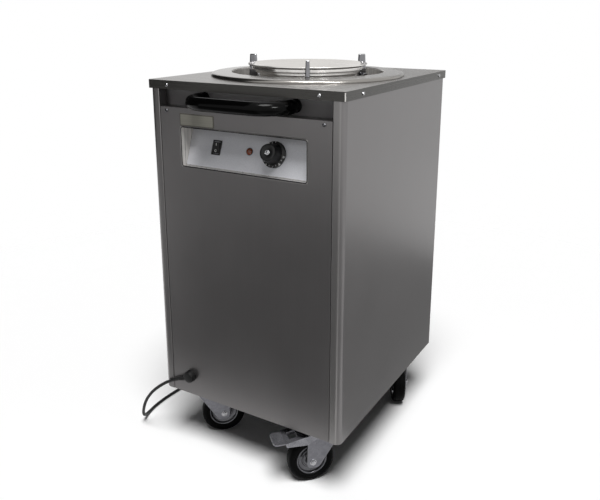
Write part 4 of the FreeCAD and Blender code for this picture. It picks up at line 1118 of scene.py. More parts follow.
@dataclass
class Handle:
    """The bow handle: a round tube bent twice, with a collar at each foot."""

    level: float = 792.5
    rail_face: float = RAIL_FACE_Y
    bar_y: float = -273.5
    half_centres: float = 106.5
    bend: float = 56.0
    radius: float = 13.5
    leg_share: float = 0.82
    foot_radius: float = 13.0
    foot: float = 3.0
    foot_round: float = 1.2
    foot_overlap: float = 0.6

    def taper(self, bench: Workpiece, ring: Sequence[Edge], share: float) -> None:
        """Scales a ring of edges about its own middle, across the leg.

        Args:
            bench: The workpiece that holds it.
            ring: The ring.
            share: Its new size as a share of the old.
        """
        verts = list({vert for edge in ring for vert in edge.verts})
        middle = sum((vert.co for vert in verts), Vector()) / len(verts)
        bmesh.ops.scale(bench.bm, verts=verts, vec=(share, 1.0, share), space=Matrix.Translation(-middle))

    def collar(self) -> Workpiece:
        """Turns the collar that stands round a foot.

        Returns:
            The collar.
        """
        neck = self.radius * self.leg_share - self.foot_overlap
        third = self.foot_round / 3
        return Workpiece().turned([
            (neck, 0.0), (self.foot_radius, 0.0), (self.foot_radius, self.foot - self.foot_round),
            (self.foot_radius - third, self.foot - third),
            (self.foot_radius - self.foot_round, self.foot), (neck, self.foot)], steps=48)

    def build(self) -> None:
        """Extrudes and spins a circle along the bow, thinner at the feet, then adds their collars."""
        bench = Workpiece()
        bend_y = self.bar_y + self.bend
        place = Matrix.Translation((-self.half_centres, self.rail_face, self.level)) @ FACING_FRONT
        made = bmesh.ops.create_circle(bench.bm, cap_ends=False, radius=self.radius, segments=36,
                                       matrix=place)
        ring = list({edge for vert in made["verts"] for edge in vert.link_edges})
        self.taper(bench, ring, self.leg_share)
        ring = bench.fold(ring, (0, bend_y - self.rail_face, 0))
        self.taper(bench, ring, 1 / self.leg_share)
        inner = self.half_centres - self.bend
        for centre_x, run in ((-inner, (inner * 2, 0, 0)), (inner, (0, self.rail_face - bend_y, 0))):
            turned = bmesh.ops.spin(bench.bm, geom=ring, cent=(centre_x, bend_y, self.level), axis=UP,
                                    angle=math.pi / 2, steps=14)["geom_last"]
            ring = [item for item in turned if isinstance(item, Edge)]
            ring = bench.fold(ring, run)
        self.taper(bench, ring, self.leg_share)
        bench.close_up()
        collar = self.collar()
        for side in (-1, 1):
            spot = (self.half_centres * side, self.rail_face, self.level)
            bench.join(collar, Matrix.Translation(spot) @ FACING_FRONT)
        bench.piece("handle_tube", HANDLE_BLACK, "cabinet", "handle_black", ["handle_bow"])


@dataclass
class Controls:
    """The sunk fascia with its film, rocker switch, lamp and dial."""

    plate_y: float = -202.0772
    plate_z: float = 696.0
    tilt: float = 20.0
    front_face: float = FRONT_FACE_Y
    film: Flat = (291.0, 82.4)
    film_corner: float = 2.5
    film_thick: float = 0.35
    film_round: float = 0.12
    tray: Flat = (293.0, 79.0)
    tray_round: float = 0.5
    seal_past: float = 1.3
    seal_within: float = 0.2
    seal_corners: Flat = (4.6, 3.4)
    seal_thick: float = 0.6
    seal_proud: float = 0.25
    cheek_thick: float = 0.3
    cheek_gap: float = 0.1
    cheek_sink: float = 0.05
    cheek_front: float = 0.8
    print_thick: float = 0.2
    print_corner: float = 0.3
    switch_x: float = -77.0
    housing_round: float = 0.7
    rocker_round: float = 0.6
    rocker_tilt: float = -14.0
    rocker_slope: float = 9.4
    sign_reach: float = 6.4
    sign_level: float = 3.62
    on_bar: Flat = (1.3, 5.4)
    off_ring: Flat = (1.7, 2.7)
    lamp_x: float = 3.0
    knob_x: float = 60.0
    knob_stand_off: float = 0.5
    shaft_radius: float = 3.0
    shaft_depth: float = 20.0
    skirt_radius: float = 26.0
    skirt: float = 3.5
    grip_radius: float = 19.5
    top_radius: float = 17.0
    knob_height: float = 27.0
    cap_radius: float = 5.5
    cap_gap: float = 0.1
    cap_sink: float = 2.5
    numerals: int = 8
    first_angle: float = 88.0
    last_angle: float = 353.0
    numeral_ring: float = 22.7
    numeral_size: float = 8.4
    numeral_weight: float = 0.28
    numeral_lift: float = 0.25
    tick: Flat = (1.5, 2.6)

    # Outlines as radius and height above the plate
    LAMP_COLLAR = ((6.7, 0.35), (7.6, 0.35), (7.6, 1.2), (7.4, 1.7), (7.0, 1.9), (6.7, 1.6))
    LAMP_DOME = ((0.0, 6.0), (2.4, 5.8), (4.4, 5.1), (5.8, 4.0), (6.6, 2.6), (6.8, 1.4), (6.6, 0.35),
                 (4.5, 0.35), (4.5, -26.0), (0.0, -26.0))

    def on_plate(self, x: float, tilt: float | None = None) -> Matrix:
        """Gives the place on the sloping plate where local Z points out of it.

        Args:
            x: How far right of the plate's middle.
            tilt: Another slope than the plate's, in degrees.

        Returns:
            The matrix from local millimetres to the frame.
        """
        slope = -self.tilt if tilt is None else tilt
        lean = Matrix.Rotation(math.radians(slope), 4, "X")
        return Matrix.Translation((x, self.plate_y, self.plate_z)) @ lean @ FACING_FRONT

    def bar(self, size: Flat) -> Workpiece:
        """Makes a printed bar.

        Args:
            size: Its width and height.

        Returns:
            The bar, lying on the XY plane.
        """
        bench = Workpiece()
        face = bench.rectangle(*size, self.print_corner, segments=2)
        bench.raise_face(face, (0, 0, self.print_thick), keep=True)
        return bench

    def fascia(self) -> None:
        """Dresses the tray and lays the printed film on its plate."""
        soft_copy("control_fascia", TRAY_STEEL, "cabinet", "fascia_silver", self.tray_round)
        bench = Workpiece()
        face = bench.rectangle(*self.film, self.film_corner, segments=4)
        face = bench.raise_face(face, (0, 0, self.film_thick), keep=True)
        bench.soften(self.film_round, 2, face.edges)
        bench.place(self.on_plate(0))
        bench.piece("fascia_film", FILM, "cabinet", "fascia_silver")
        self.gasket()
        self.cheeks()

    def gasket(self) -> None:
        """Lays a thin black seal on the tray's front edge."""
        wide, tall = self.tray
        past, within = 2 * self.seal_past, 2 * self.seal_within
        outer_corner, inner_corner = self.seal_corners
        bench = Workpiece()
        outer = bench.rectangle(wide + past, tall + past, outer_corner, (0, self.plate_z))
        inner = bench.rectangle(wide - within, tall - within, inner_corner, (0, self.plate_z))
        bench.holed_sheet(outer, [inner])
        bench.thicken(self.seal_thick)
        bench.place(Matrix.Translation((0, self.front_face - self.seal_proud, 0)) @ FACING_FRONT)
        bench.piece("fascia_seal", GLAND_BLACK, "cabinet", "fascia_silver")

    def cheeks(self) -> None:
        """Lines the recess's two side walls with a pale sheet, a painted highlight, from the front edge to
        the plate.
        """
        wide, tall = self.tray
        reach = tall / 2 - self.cheek_gap
        bench = Workpiece()
        for side in (-1, 1):
            corners = []
            for rise in (-reach, reach):
                back = self.plate_y + rise * math.tan(math.radians(self.tilt)) - self.cheek_gap
                ends = [self.front_face + self.cheek_front, back]
                corners += [(y, self.plate_z + rise) for y in (ends if rise < 0 else reversed(ends))]
            verts = [bench.bm.verts.new(((wide / 2 - self.cheek_sink) * side, y, z)) for y, z in corners]
            face = bench.bm.faces.new(verts)
            bench.raise_face(face, (-self.cheek_thick * side, 0, 0), keep=True)
        bmesh.ops.recalc_face_normals(bench.bm, faces=bench.bm.faces)
        bench.piece("recess_cheeks", CHEEK_HIGHLIGHT_PAINT, "cabinet", "fascia_silver")

    def switch(self) -> None:
        """Rounds the housing and the rocker, and prints the rocker's two signs."""
        soft_copy("switch_housing", CONTROL_BLACK, "cabinet", "control_black", self.housing_round, 3)
        soft_copy("switch_rocker", CONTROL_BLACK, "rocker", "control_black", self.rocker_round, 3)
        bench = Workpiece()
        inner, outer = self.off_ring
        ring = Workpiece().turned([(inner, 0.0), (outer, 0.0), (outer, self.print_thick),
                                   (inner, self.print_thick)], steps=32)
        for sign, half in ((self.bar(self.on_bar), 1), (ring, -1)):
            lean = Matrix.Rotation(math.radians(self.rocker_slope) * half, 4, "X")
            bench.join(sign, Matrix.Translation((0, self.sign_reach * half, self.sign_level)) @ lean)
        bench.place(self.on_plate(self.switch_x, self.rocker_tilt))
        bench.piece("rocker_signs", WHITE_INK, "rocker", "control_black")

    def lamp(self) -> None:
        """Turns the lamp's black collar and its domed lens."""
        collar = Workpiece().turned(self.LAMP_COLLAR, steps=40).place(self.on_plate(self.lamp_x))
        collar.piece("lamp_collar", CONTROL_BLACK, "cabinet", "control_black")
        lens = Workpiece().turned(self.LAMP_DOME, steps=40).place(self.on_plate(self.lamp_x))
        lens.piece("lamp_dome", LAMP_LENS, "cabinet", "lamp_lens", ["indicator_lamp"])

    def dial(self) -> None:
        """Turns the knob and its bright cap, and prints plain numerals and ticks on the skirt."""
        low = self.knob_stand_off
        deck = low + self.skirt
        face = low + self.knob_height
        base = face - self.cap_sink
        skirt, grip, top, cap = self.skirt_radius, self.grip_radius, self.top_radius, self.cap_radius
        knob = Workpiece().turned([
            (0, -self.shaft_depth), (self.shaft_radius, -self.shaft_depth), (self.shaft_radius, low),
            (skirt - 0.5, low), (skirt, low + 0.5), (skirt, deck - 1.4), (skirt - 0.4, deck - 0.5),
            (skirt - 1.2, deck), (grip + 1.6, deck + 0.5), (grip + 0.5, deck + 1.4), (grip, deck + 3.0),
            (top + 0.3, face - 3.2), (top - 0.5, face - 1.2), (top - 2.2, face - 0.1), (top - 4.0, face),
            (cap + 2.6, face - 0.4), (cap + 1.0, face - 1.0), (cap, face - 1.6), (cap, base),
            (0, base)], steps=80)
        knob.place(self.on_plate(self.knob_x))
        knob.piece("dial_knob", CONTROL_BLACK, "dial", "control_black", ["knob"])
        edge = cap - self.cap_gap
        disc = Workpiece().turned([
            (0, base), (edge, base), (edge, base + 1.8), (edge - 0.5, base + 2.4),
            (edge - 1.4, base + 2.6), (edge - 2.0, base + 2.2), (edge - 2.6, base + 2.1),
            (1.2, base + 2.6), (0, base + 2.7)], steps=40)
        disc.place(self.on_plate(self.knob_x))
        disc.piece("dial_cap", CAP_METAL, "dial", "knob_metal", ["knob_cap"])
        self.dial_marks(deck + self.numeral_lift)

    def dial_marks(self, deck: float) -> None:
        """Prints the numerals, and a tick between each two.

        Args:
            deck: Height of the skirt's face above the plate.
        """
        bench = Workpiece()
        step = math.radians(self.last_angle - self.first_angle) / (self.numerals - 1)
        tick = self.bar(self.tick)
        out = Matrix.Translation((0, self.numeral_ring, deck))
        for number in range(self.numerals):
            angle = math.radians(self.first_angle) + number * step - math.pi / 2
            self.numeral(bench, str(number + 1), Matrix.Rotation(angle, 4, "Z") @ out)
            if number:
                bench.join(tick, Matrix.Rotation(angle - step / 2, 4, "Z") @ out)
        bench.place(self.on_plate(self.knob_x))
        bench.piece("dial_numerals", WHITE_INK, "dial", "control_black")

    def numeral(self, bench: Workpiece, text: str, matrix: Matrix) -> None:
        """Adds one numeral as a thin solid.

        Args:
            bench: The workpiece that takes it.
            text: The numeral.
            matrix: Its place, in millimetres.
        """
        curve = bpy.data.curves.new("numeral", "FONT")
        curve.body = text
        curve.size = self.numeral_size
        curve.extrude = self.print_thick / 2
        curve.offset = self.numeral_weight
        curve.align_x = "CENTER"
        curve.align_y = "CENTER"
        item = bpy.data.objects.new("numeral", curve)
        mesh = bpy.data.meshes.new_from_object(item)
        mesh.transform(matrix)
        bench.bm.from_mesh(mesh)
        bpy.data.objects.remove(item)
        bpy.data.meshes.remove(mesh)
        bpy.data.curves.remove(curve)

    def build(self) -> None:
        """Makes every control."""
        self.fascia()
        self.switch()
        self.lamp()
        self.dial()
        dress_node("thermostat_body", INNER_PLASTIC)


@dataclass
class CordSet:
    """The mains lead: gland, cord, the coil of its unseen length, tie and plug."""

    gland: Point = (-150.0, FRONT_FACE_Y, 176.0)
    radius: float = 3.5
    coil_radius: float = 46.0
    coil_pitch: float = 7.7
    coil_steps: int = 16
    length: float = 2.03
    sleeve_back: float = 24.0
    sleeve_rings: int = 5
    rings_from: float = 11.0
    ring_step: float = 3.2
    ring_radius: float = 6.4
    ring_taper: float = 0.42
    tie_turns: int = 3
    tie_slack: float = 1.6
    tie_corner: float = 3.0
    tie_width: float = 9.0
    tie_thick: float = 1.0
    tie_lift: float = 0.3
    plug_round: float = 1.2

    # To the right of the gland, behind the front panel's face, and above the floor
    ROUTE = (
        (-22.0, -7.0, 166.5), (-52.0, -8.0, 153.5), (-83.0, -9.5, 132.5), (-112.0, -10.5, 106.0),
        (-134.0, -9.0, 76.0), (-149.0, -4.0, 44.0), (-161.0, 8.0, 17.5), (-173.0, 33.0, 4.8),
        (-182.0, 73.0, 3.8), (-183.0, 128.0, 3.8), (-176.0, 198.0, 3.8), (-161.0, 276.0, 3.8),
        (-139.0, 358.0, 3.8), (-113.0, 434.0, 3.8), (-82.0, 498.0, 3.8), (-36.0, 538.0, 3.8),
        (18.0, 555.0, 3.8))
    TAIL = ((0.0, 0.0), (26.0, 0.0), (54.0, 7.0), (82.0, 21.0), (104.0, 40.0))
    # Outlines as radius and height: the gland's dome, then the sleeve's foot, one ring of it and its tip
    GLAND_DOME = (
        (0.0, -14.0), (12.0, -14.0), (12.0, -9.0), (8.0, -9.0), (8.0, 0.0), (13.6, 0.0), (13.8, 1.0),
        (13.6, 2.2), (13.0, 2.6), (13.0, 9.0), (12.3, 11.2), (10.6, 12.5), (8.0, 13.0), (0.0, 13.0))
    SLEEVE_FOOT = ((0.0, 0.0), (6.6, 0.0), (6.6, 10.0))
    SLEEVE_RING = ((0.0, 0.0), (0.0, 1.7), (-0.9, 2.1), (-0.9, 2.9))
    SLEEVE_TIP = ((4.4, 28.0), (3.9, 31.0), (0.0, 31.0))

    def route(self) -> list[Vector]:
        """Gives the free stretch's points in millimetres, as the CAD has them."""
        x, y, _ = self.gland
        return [Vector((x + right, y + back, high)) for right, back, high in self.ROUTE]

    def coil(self, start: Vector, heading: Vector) -> tuple[list[Vector], Vector, Vector, Vector]:
        """Works out the coil: a spiral in below, a climbing half turn, and a spiral out above.

        Args:
            start: Where the free stretch ends.
            heading: Which way it goes there.

        Returns:
            The coil's points, its end and heading there, and its middle.
        """
        sideways = UP.cross(heading)
        first = start + heading * (2 * self.radius)
        middle = first + sideways * self.coil_radius
        rate = self.coil_pitch / math.tau
        turn_in, half_turn = 2 * math.tau, math.pi
        inmost = self.coil_radius - rate * turn_in
        step = math.tau / self.coil_steps
        # A spline of order 3 runs inside its points, so they stand that much further out
        outset = 8 / (6 + 2 * math.cos(step))
        points = [first]
        for number in range(1, round((2 * turn_in + half_turn) / step) + 1):
            angle = number * step
            past = angle - turn_in
            climb = 0.0
            if past <= 0:
                reach = self.coil_radius - rate * angle
            elif past < half_turn:
                share = past / half_turn
                reach = inmost - rate * past + rate * past * past / half_turn
                climb = self.coil_pitch * (3 - 2 * share) * share * share
            else:
                reach = inmost + rate * (past - half_turn)
                climb = self.coil_pitch
            spoke = heading * math.sin(angle) - sideways * math.cos(angle)
            points.append(middle + spoke * (reach * outset) + UP * climb)
        along = sideways * math.sin(angle) + heading * math.cos(angle)
        last = middle + spoke * reach + UP * climb
        points[-1] = last
        way = (along * reach + spoke * rate).normalized()
        return points, last + way * (2 * self.radius), way, middle

    def strain_relief(self) -> None:
        """Turns the gland's dome and its tapered, ringed sleeve along the cord's first run."""
        dome = Workpiece().turned(self.GLAND_DOME, steps=48)
        dome.place(Matrix.Translation(self.gland) @ FACING_FRONT)
        start, second = self.route()[:2]
        run = (second - start).normalized()
        profile = list(self.SLEEVE_FOOT)
        for ring in range(self.sleeve_rings):
            low = self.rings_from + ring * self.ring_step
            thick = self.ring_radius - ring * self.ring_taper
            profile += [(thick + aside, low + rise) for aside, rise in self.SLEEVE_RING]
        profile += self.SLEEVE_TIP
        sleeve = Workpiece().turned(profile, steps=32)
        base = Matrix.Translation(start - run * self.sleeve_back)
        dome.join(sleeve, base @ run.to_track_quat("Z", "Y").to_matrix().to_4x4())
        dome.piece("gland_and_sleeve", GLAND_BLACK, "cabinet", "cord_rubber", ["cord_gland"])

    def tie(self, middle: Vector, spoke: Vector) -> Item:
        """Wraps a flat band round the coil's turns at one place.

        Args:
            middle: The coil's middle.
            spoke: Which way from it the band lies.

        Returns:
            The band.
        """
        inner = self.coil_radius - self.tie_turns * self.coil_pitch
        outer = self.coil_radius + self.radius
        tall = self.coil_pitch + 2 * self.radius
        bench = Workpiece()
        face = bench.rectangle(outer - inner + self.tie_slack, tall, self.tie_corner,
                               ((outer + inner) / 2, tall / 2), 4)
        rim = list(face.edges)
        bmesh.ops.delete(bench.bm, geom=[face], context="FACES_ONLY")
        bench.fold(rim, (0, 0, self.tie_width))
        bmesh.ops.recalc_face_normals(bench.bm, faces=bench.bm.faces)
        bench.thicken(self.tie_thick)
        turn = Matrix((spoke, UP, spoke.cross(UP))).transposed().to_4x4()
        half_back = Matrix.Translation((0, 0, -self.tie_width / 2))
        bench.place(Matrix.Translation((middle.x, middle.y, self.tie_lift)) @ turn @ half_back)
        return bench.piece("coil_tie", CORD_RUBBER, "cabinet", "cord_rubber")

    def build(self) -> None:
        route = self.route()
        heading = (route[-1] - route[-2]).normalized()
        coil, end, way, middle = self.coil(route[-1], heading)
        outward = way.cross(UP)
        tail = [end + way * ahead + outward * aside for ahead, aside in self.TAIL]
        points = [*route, *coil, *tail]
        curve = bpy.data.curves.new("mains_cord", "CURVE")
        curve.dimensions = "3D"
        curve.bevel_depth = self.radius * MM
        curve.bevel_resolution = 4
        curve.resolution_u = 6
        curve.use_fill_caps = True
        spline = curve.splines.new("NURBS")
        spline.points.add(len(points) - 1)
        for knot, point in zip(spline.points, points):
            knot.co = (*(point * MM), 1.0)
        spline.order_u = 3
        spline.use_endpoint_u = True
        curve.materials.append(CORD_RUBBER.material())
        cord = scene_object("mains_cord", curve)
        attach(cord, "cabinet")
        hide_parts("cord_lead", "cord_coil", "cord_tail")
        self.strain_relief()
        plug = soft_copy("mains_plug", GLAND_BLACK, "cabinet", "cord_rubber", self.plug_round, 3)
        tie = self.tie(middle, UP.cross(heading))
        log.info("mains_cord rides on cabinet in %s", CORD_RUBBER.name)


@dataclass
class Well:
    """The raised ring round the well and what hangs below it."""

    middle_y: float = MIDDLE_Y
    top: float = WORKTOP_LEVEL
    inner: float = 165.0
    outer: float = 209.5
    crown: float = 8.5
    spigot: float = 26.0
    sheet: float = 1.5
    seat: float = 0.3

    def ring(self) -> None:
        """Turns the ring: a rolled inner edge, a gently falling crown and a rounded outer shoulder."""
        skin, crown, inner, outer = self.sheet, self.crown, self.inner, self.outer
        bench = Workpiece().turned([
            (inner, -self.spigot), (inner, crown - 3.0), (inner + 0.35, crown - 1.5),
            (inner + 1.3, crown - 0.4), (inner + 2.8, crown), (inner + 5.0, crown - 0.1),
            (outer - 9.5, crown - 1.2), (outer - 5.4, crown - 1.6), (outer - 3.4, crown - 2.2),
            (outer - 1.6, crown - 3.3), (outer - 0.5, crown - 4.7), (outer, crown - 6.2),
            (outer, self.seat), (outer - skin, self.seat), (outer - skin, crown - 6.2),
            (outer - skin - 2.0, crown - 4.0), (outer - 8.0, crown - 3.0), (inner + 4.0, crown - skin),
            (inner + skin, crown - 3.6), (inner + skin, -self.spigot)], steps=128)
        bench.place(Matrix.Translation((0, self.middle_y, self.top)))
        item = bench.piece("well_ring", RING_STEEL, "cabinet", "worktop_steel", ["well_flange"])
        reach = (inner + skin / 2) * MM
        axis = Vector((0, self.middle_y * MM, 0))
        # Painted light: the stainless ring's inner wall takes the pale well sheet instead of its own steel
        second_finish(item, WELL_STEEL, lambda face: (face.center - axis).xy.length < reach)

    def build(self) -> None:
        """Makes the ring and dresses the pieces inside."""
        self.ring()
        for node in ("well_tube", "well_floor", "guide_brackets", "spring_hangers", "heater_element"):
            dress_node(node, WELL_STEEL)
        dress_node("lift_springs", SPRING_WIRE)


@dataclass
class Carrier:
    """The dish that lifts the plates, on its stem and arms."""

    middle_y: float = MIDDLE_Y
    top: float = WORKTOP_LEVEL

    # The dish's outline as radius and height: the face out to the rim, then three bands back under it
    DISH = (
        (0.0, 4.5), (83.0, 4.5), (85.4, 4.8), (87.2, 5.8), (108.5, 16.2), (110.6, 17.0), (113.0, 17.6),
        (126.8, 23.9), (128.4, 24.7), (129.2, 24.8), (129.5, 24.3), (129.5, 23.2), (128.6, 22.4),
        (122.6, 20.2), (121.2, 19.8), (120.6, 19.0), (120.6, 13.6), (119.8, 12.9), (113.4, 12.7),
        (112.4, 12.2), (112.0, 11.2), (112.4, 6.6), (111.6, 5.8), (105.2, 5.6), (104.2, 5.1),
        (103.8, 4.1), (104.2, 0.4), (103.4, -0.4), (98.0, -0.6), (88.0, 1.5), (0.0, 1.5))
    # Faces that look up less than this belong to the outer side
    SIDE_TILT = 0.3

    def build(self) -> None:
        """Turns the dish with its thin rim and inner step, and dresses the rest."""
        bench = Workpiece().turned(self.DISH, steps=128)
        bench.place(Matrix.Translation((0, self.middle_y, self.top)))
        item = bench.piece("plate_dish", DISH_STEEL, "carrier", "carrier_steel", ["carrier_dish"])
        # Painted light: faces that look sideways or down take the brighter side copy of the dish's steel
        second_finish(item, DISH_SIDE_LIGHT_PAINT, lambda face: face.normal.z < self.SIDE_TILT)
        dress_node("carrier_spider", WELL_STEEL)
        dress_node("carrier_glides", INNER_PLASTIC)


@dataclass
class GuidePost:
    """One of three tapered posts round the dish, with its thumbscrew."""

    number: int
    angle: float
    middle_y: float = MIDDLE_Y
    ring_radius: float = 142.5
    depth: float = 20.0
    width: float = 11.0
    foot: float = 742.3
    shoulder: float = WORKTOP_LEVEL
    top: float = 868.0
    top_share: Flat = (0.82, 0.68)
    top_round: float = 2.0
    corner: float = 4.0
    screw_level: float = 819.0
    head_radius: float = 7.0
    head_low: float = 3.2
    head_height: float = 6.0
    head_crown: float = 1.0
    head_border: float = 1.2
    head_sink: float = 0.6

    # The screw's plain waist as radius and height, and shares of the fluted head's size
    WAIST = ((0.0, 0.0), (4.5, 0.0), (4.5, 2.6), (6.2, 2.6), (6.4, 3.2), (6.4, 3.4), (0.0, 3.4))
    FLUTE_SHARE = 0.94
    CROWN_SHARE = 0.9
    SINK_SHARE = 0.94

    def build(self) -> None:
        """Extrudes the post from its section, draws in its top, and turns the knurled screw."""
        turn = Matrix.Rotation(math.radians(self.angle), 4, "Z")
        place = Matrix.Translation((0, self.middle_y, 0)) @ turn
        bench = Workpiece()
        face = bench.rectangle(self.depth, self.width, self.corner, (self.ring_radius, 0))
        face = bench.raise_face(face, (0, 0, self.shoulder - self.foot), keep=True)
        face = bench.raise_face(face, (0, 0, self.top - self.shoulder), self.top_share)
        bench.soften(self.top_round, 4, face.edges)
        bench.place(place @ Matrix.Translation((0, 0, self.foot)))
        body = f"post_{self.number}"
        bench.piece(f"tapered_post_{self.number}", POST_CHROME, body, "post_chrome",
                    [f"guide_post_{self.number}"])
        self.thumbscrew(place, body)

    def thumbscrew(self, place: Matrix, body: str) -> None:
        """Makes the thumbscrew: a plain waist and a fluted head.

        Args:
            place: The post's place.
            body: The post's body.
        """
        bench = Workpiece().turned(self.WAIST, steps=40)
        head = bench.disc(self.head_radius, segments=40)
        for count, corner in enumerate(head.verts):
            if count % 2:
                corner.co *= self.FLUTE_SHARE
        bmesh.ops.translate(bench.bm, verts=list(head.verts), vec=(0, 0, self.head_low))
        head = bench.raise_face(head, (0, 0, self.head_height), keep=True)
        head = bench.raise_face(head, (0, 0, self.head_crown), self.CROWN_SHARE)
        bmesh.ops.inset_individual(bench.bm, faces=[head], thickness=self.head_border)
        bench.raise_face(head, (0, 0, -self.head_sink), self.SINK_SHARE)
        spot = Matrix.Translation((self.ring_radius, -self.width / 2, self.screw_level))
        bench.place(place @ spot @ FACING_FRONT)
        bench.piece(f"thumbscrew_{self.number}", CHROME, body, "post_chrome",
                    [f"guide_screw_{self.number}"])


def mirrored(side: Sequence[Flat]) -> list[Flat]:
    """Gives an outline's other half, back along the axle."""
    return [(radius, -height) for radius, height in reversed(side)]


@dataclass
class Caster:
    """One swivel caster, built about its swivel axis with the wheel trailing towards -X."""

    name: str
    swivel: Flat
    angle: float
    braked: bool
    trail: float = 35.0
    wheel_radius: float = 50.0
    tyre_half: float = 15.0
    seat_radius: float = 33.6
    groove: float = 0.4
    cheek_out: float = 21.5
    hub_half: float = 18.7
    axle_radius: float = 5.0
    axle_past: float = 1.0
    nut_radius: float = 5.4
    nut_low: float = 1.2
    nut_height: float = 3.0
    nut_round: float = 0.5
    fork_round: float = 0.7
    pedal_round: float = 0.5

    # Outlines as radius and distance along the axle: the rim out from its hub, a washer and the axle's tip
    RIM_SIDE = (
        (12.6, 8.2), (14.0, 7.0), (17.5, 6.6), (18.6, 7.6), (20.2, 7.9), (21.6, 6.8), (26.0, 7.2),
        (28.4, 8.6), (29.4, 11.2), (30.0, 12.3), (31.0, 13.0), (32.4, 13.1), (33.4, 12.4))
    WASHER = ((0.0, 0.0), (7.0, 0.0), (7.0, 0.9), (6.6, 1.2), (0.0, 1.2))
    TIP = ((0.0, 3.8), (3.4, 3.8), (3.2, 4.6), (2.2, 5.0), (0.0, 5.0))

    def on_axle(self) -> Matrix:
        """Gives the wheel's place, where local Z runs along the axle.

        Returns:
            The matrix from local millimetres to the frame.
        """
        swivel = Matrix.Translation((*self.swivel, 0))
        turn = Matrix.Rotation(math.radians(self.angle), 4, "Z")
        return swivel @ turn @ Matrix.Translation((-self.trail, 0, self.wheel_radius)) @ FACING_FRONT

    def wheel(self) -> None:
        """Turns the tyre and the dished rim with its rings."""
        body = f"wheel_{self.name}"
        out, half, seat, hub = self.wheel_radius, self.tyre_half, self.seat_radius, self.hub_half
        side = [(seat, half - 2.4), (seat + 0.8, half - 1.2), (seat + 2.0, half - 0.6),
                (38.0, half - 0.4), (38.6, half - 0.9), (39.4, half - 0.9), (40.0, half - 0.3),
                (43.0, half), (45.4, half - 0.9), (47.6, half - 2.6), (49.1, half - 5.0),
                (49.85, half - 8.0), (out, 1.2), (out - self.groove, 0.6)]
        tyre = Workpiece().turned(side + mirrored(side), steps=96).place(self.on_axle())
        tyre.piece(f"moulded_tyre_{self.name}", TYRE_RUBBER, body, "tyre_rubber", [f"tyre_{self.name}"])
        side = [(5.06, hub), (11.2, hub), (12.0, hub - 0.8), *self.RIM_SIDE]
        rim = Workpiece().turned(side + mirrored(side), steps=80).place(self.on_axle())
        rim.piece(f"dished_rim_{self.name}", RIM_CHROME, body, "wheel_chrome",
                  [f"wheel_hub_{self.name}"])

    def axle(self) -> None:
        """Makes the axle with a hexagon head and nut on washers."""
        end = Workpiece().turned(self.WASHER, steps=36)
        hexagon = end.disc(self.nut_radius, segments=6)
        bmesh.ops.translate(end.bm, verts=list(hexagon.verts), vec=(0, 0, self.nut_low))
        hexagon = end.raise_face(hexagon, (0, 0, self.nut_height), keep=True)
        end.soften(self.nut_round, 2, hexagon.edges)
        end.join(Workpiece().turned(self.TIP, steps=24))
        reach = self.cheek_out + self.axle_past
        bench = Workpiece().turned([(0, -reach), (self.axle_radius, -reach), (self.axle_radius, reach),
                                    (0, reach)], steps=32)
        out = Matrix.Translation((0, 0, self.cheek_out))
        bench.join(end, out).join(end, FACING_DOWN @ out)
        bench.place(self.on_axle())
        bench.piece(f"axle_bolt_{self.name}", CHROME, f"caster_{self.name}", "caster_zinc",
                    [f"axle_{self.name}"])

    def build(self) -> None:
        """Makes the wheel, the axle, the fork and any brake pedal."""
        self.wheel()
        self.axle()
        soft_copy(f"fork_{self.name}", ZINC, f"caster_{self.name}", "caster_zinc", self.fork_round)
        if self.braked:
            # Painted light: the pedal takes a lighter copy of the forks' zinc
            soft_copy(f"brake_pedal_{self.name}", PEDAL_LIGHT_ZINC, f"pedal_{self.name}", "caster_zinc",
                      self.pedal_round)


@dataclass
class CasterSet:
    """The four casters and the plates that carry them."""

    half_x: float = 157.0
    half_y: float = 190.0
    middle_y: float = MIDDLE_Y
    plate_low: float = 128.0
    bolt_x: float = 36.4
    bolt_y: float = 44.6
    plate_round: float = 0.6

    ANGLES = {"fl": -138.0, "fr": 48.0, "rl": 75.0, "rr": 120.0}
    SIDES = {"fl": (-1, -1), "fr": (1, -1), "rl": (-1, 1), "rr": (1, 1)}
    BOLT = CrossScrew(4.2, 2.8, 1.4)

    def build(self) -> None:
        """Makes each caster, then the plates with their bolts."""
        bolts = []
        for name, (side, fore) in self.SIDES.items():
            x, y = self.half_x * side, self.middle_y + self.half_y * fore
            Caster(name, (x, y), self.ANGLES[name], fore < 0).build()
            bolts += [((x + self.bolt_x * a, y + self.bolt_y * b, self.plate_low), FACING_DOWN)
                      for a in (-1, 1) for b in (-1, 1)]
        soft_copy("caster_plates", ZINC, "cabinet", "caster_zinc", self.plate_round)
        screw_set("caster_plate_bolts", bolts, ZINC, "cabinet", "caster_zinc", self.BOLT)


@dataclass(frozen=True)
class Card:
    """A dull card or gauze that only reflections see, as a studio sets up round bright metal."""

    name: str
    colour: str
    corners: tuple[Point, ...]
    open_share: float = 0.0

    def build(self) -> None:
        """Sets the card up, unseen by the camera and without a shadow."""
        bm = bmesh.new()
        bm.faces.new([bm.verts.new(corner) for corner in self.corners])
        mesh = bpy.data.meshes.new(self.name)
        bm.to_mesh(mesh)
        bm.free()
        material, tree, shader = blank_material(self.name)
        set_inputs(tree, shader, {"Base Color": linear(self.colour), "Roughness": 1.0,
                                  "Specular IOR Level": 0.0, "Alpha": 1.0 - self.open_share})
        mesh.materials.append(material)
        card = scene_object(self.name, mesh)
        card.visible_camera = False
        card.visible_diffuse = False
        card.visible_shadow = False


# How far a lying card is above the floor, in metres
CARD_LIFT = 0.002


def lying(*spots: Flat) -> tuple[Point, ...]:
    """Gives the corners of a card that lies on the floor, in metres."""
    return tuple((x, y, CARD_LIFT) for x, y in spots)


def standing(left: Flat, right: Flat, height: float) -> tuple[Point, ...]:
    """Gives the corners of a card that stands on the floor, in metres."""
    return (*left, 0.0), (*right, 0.0), (*right, height), (*left, height)


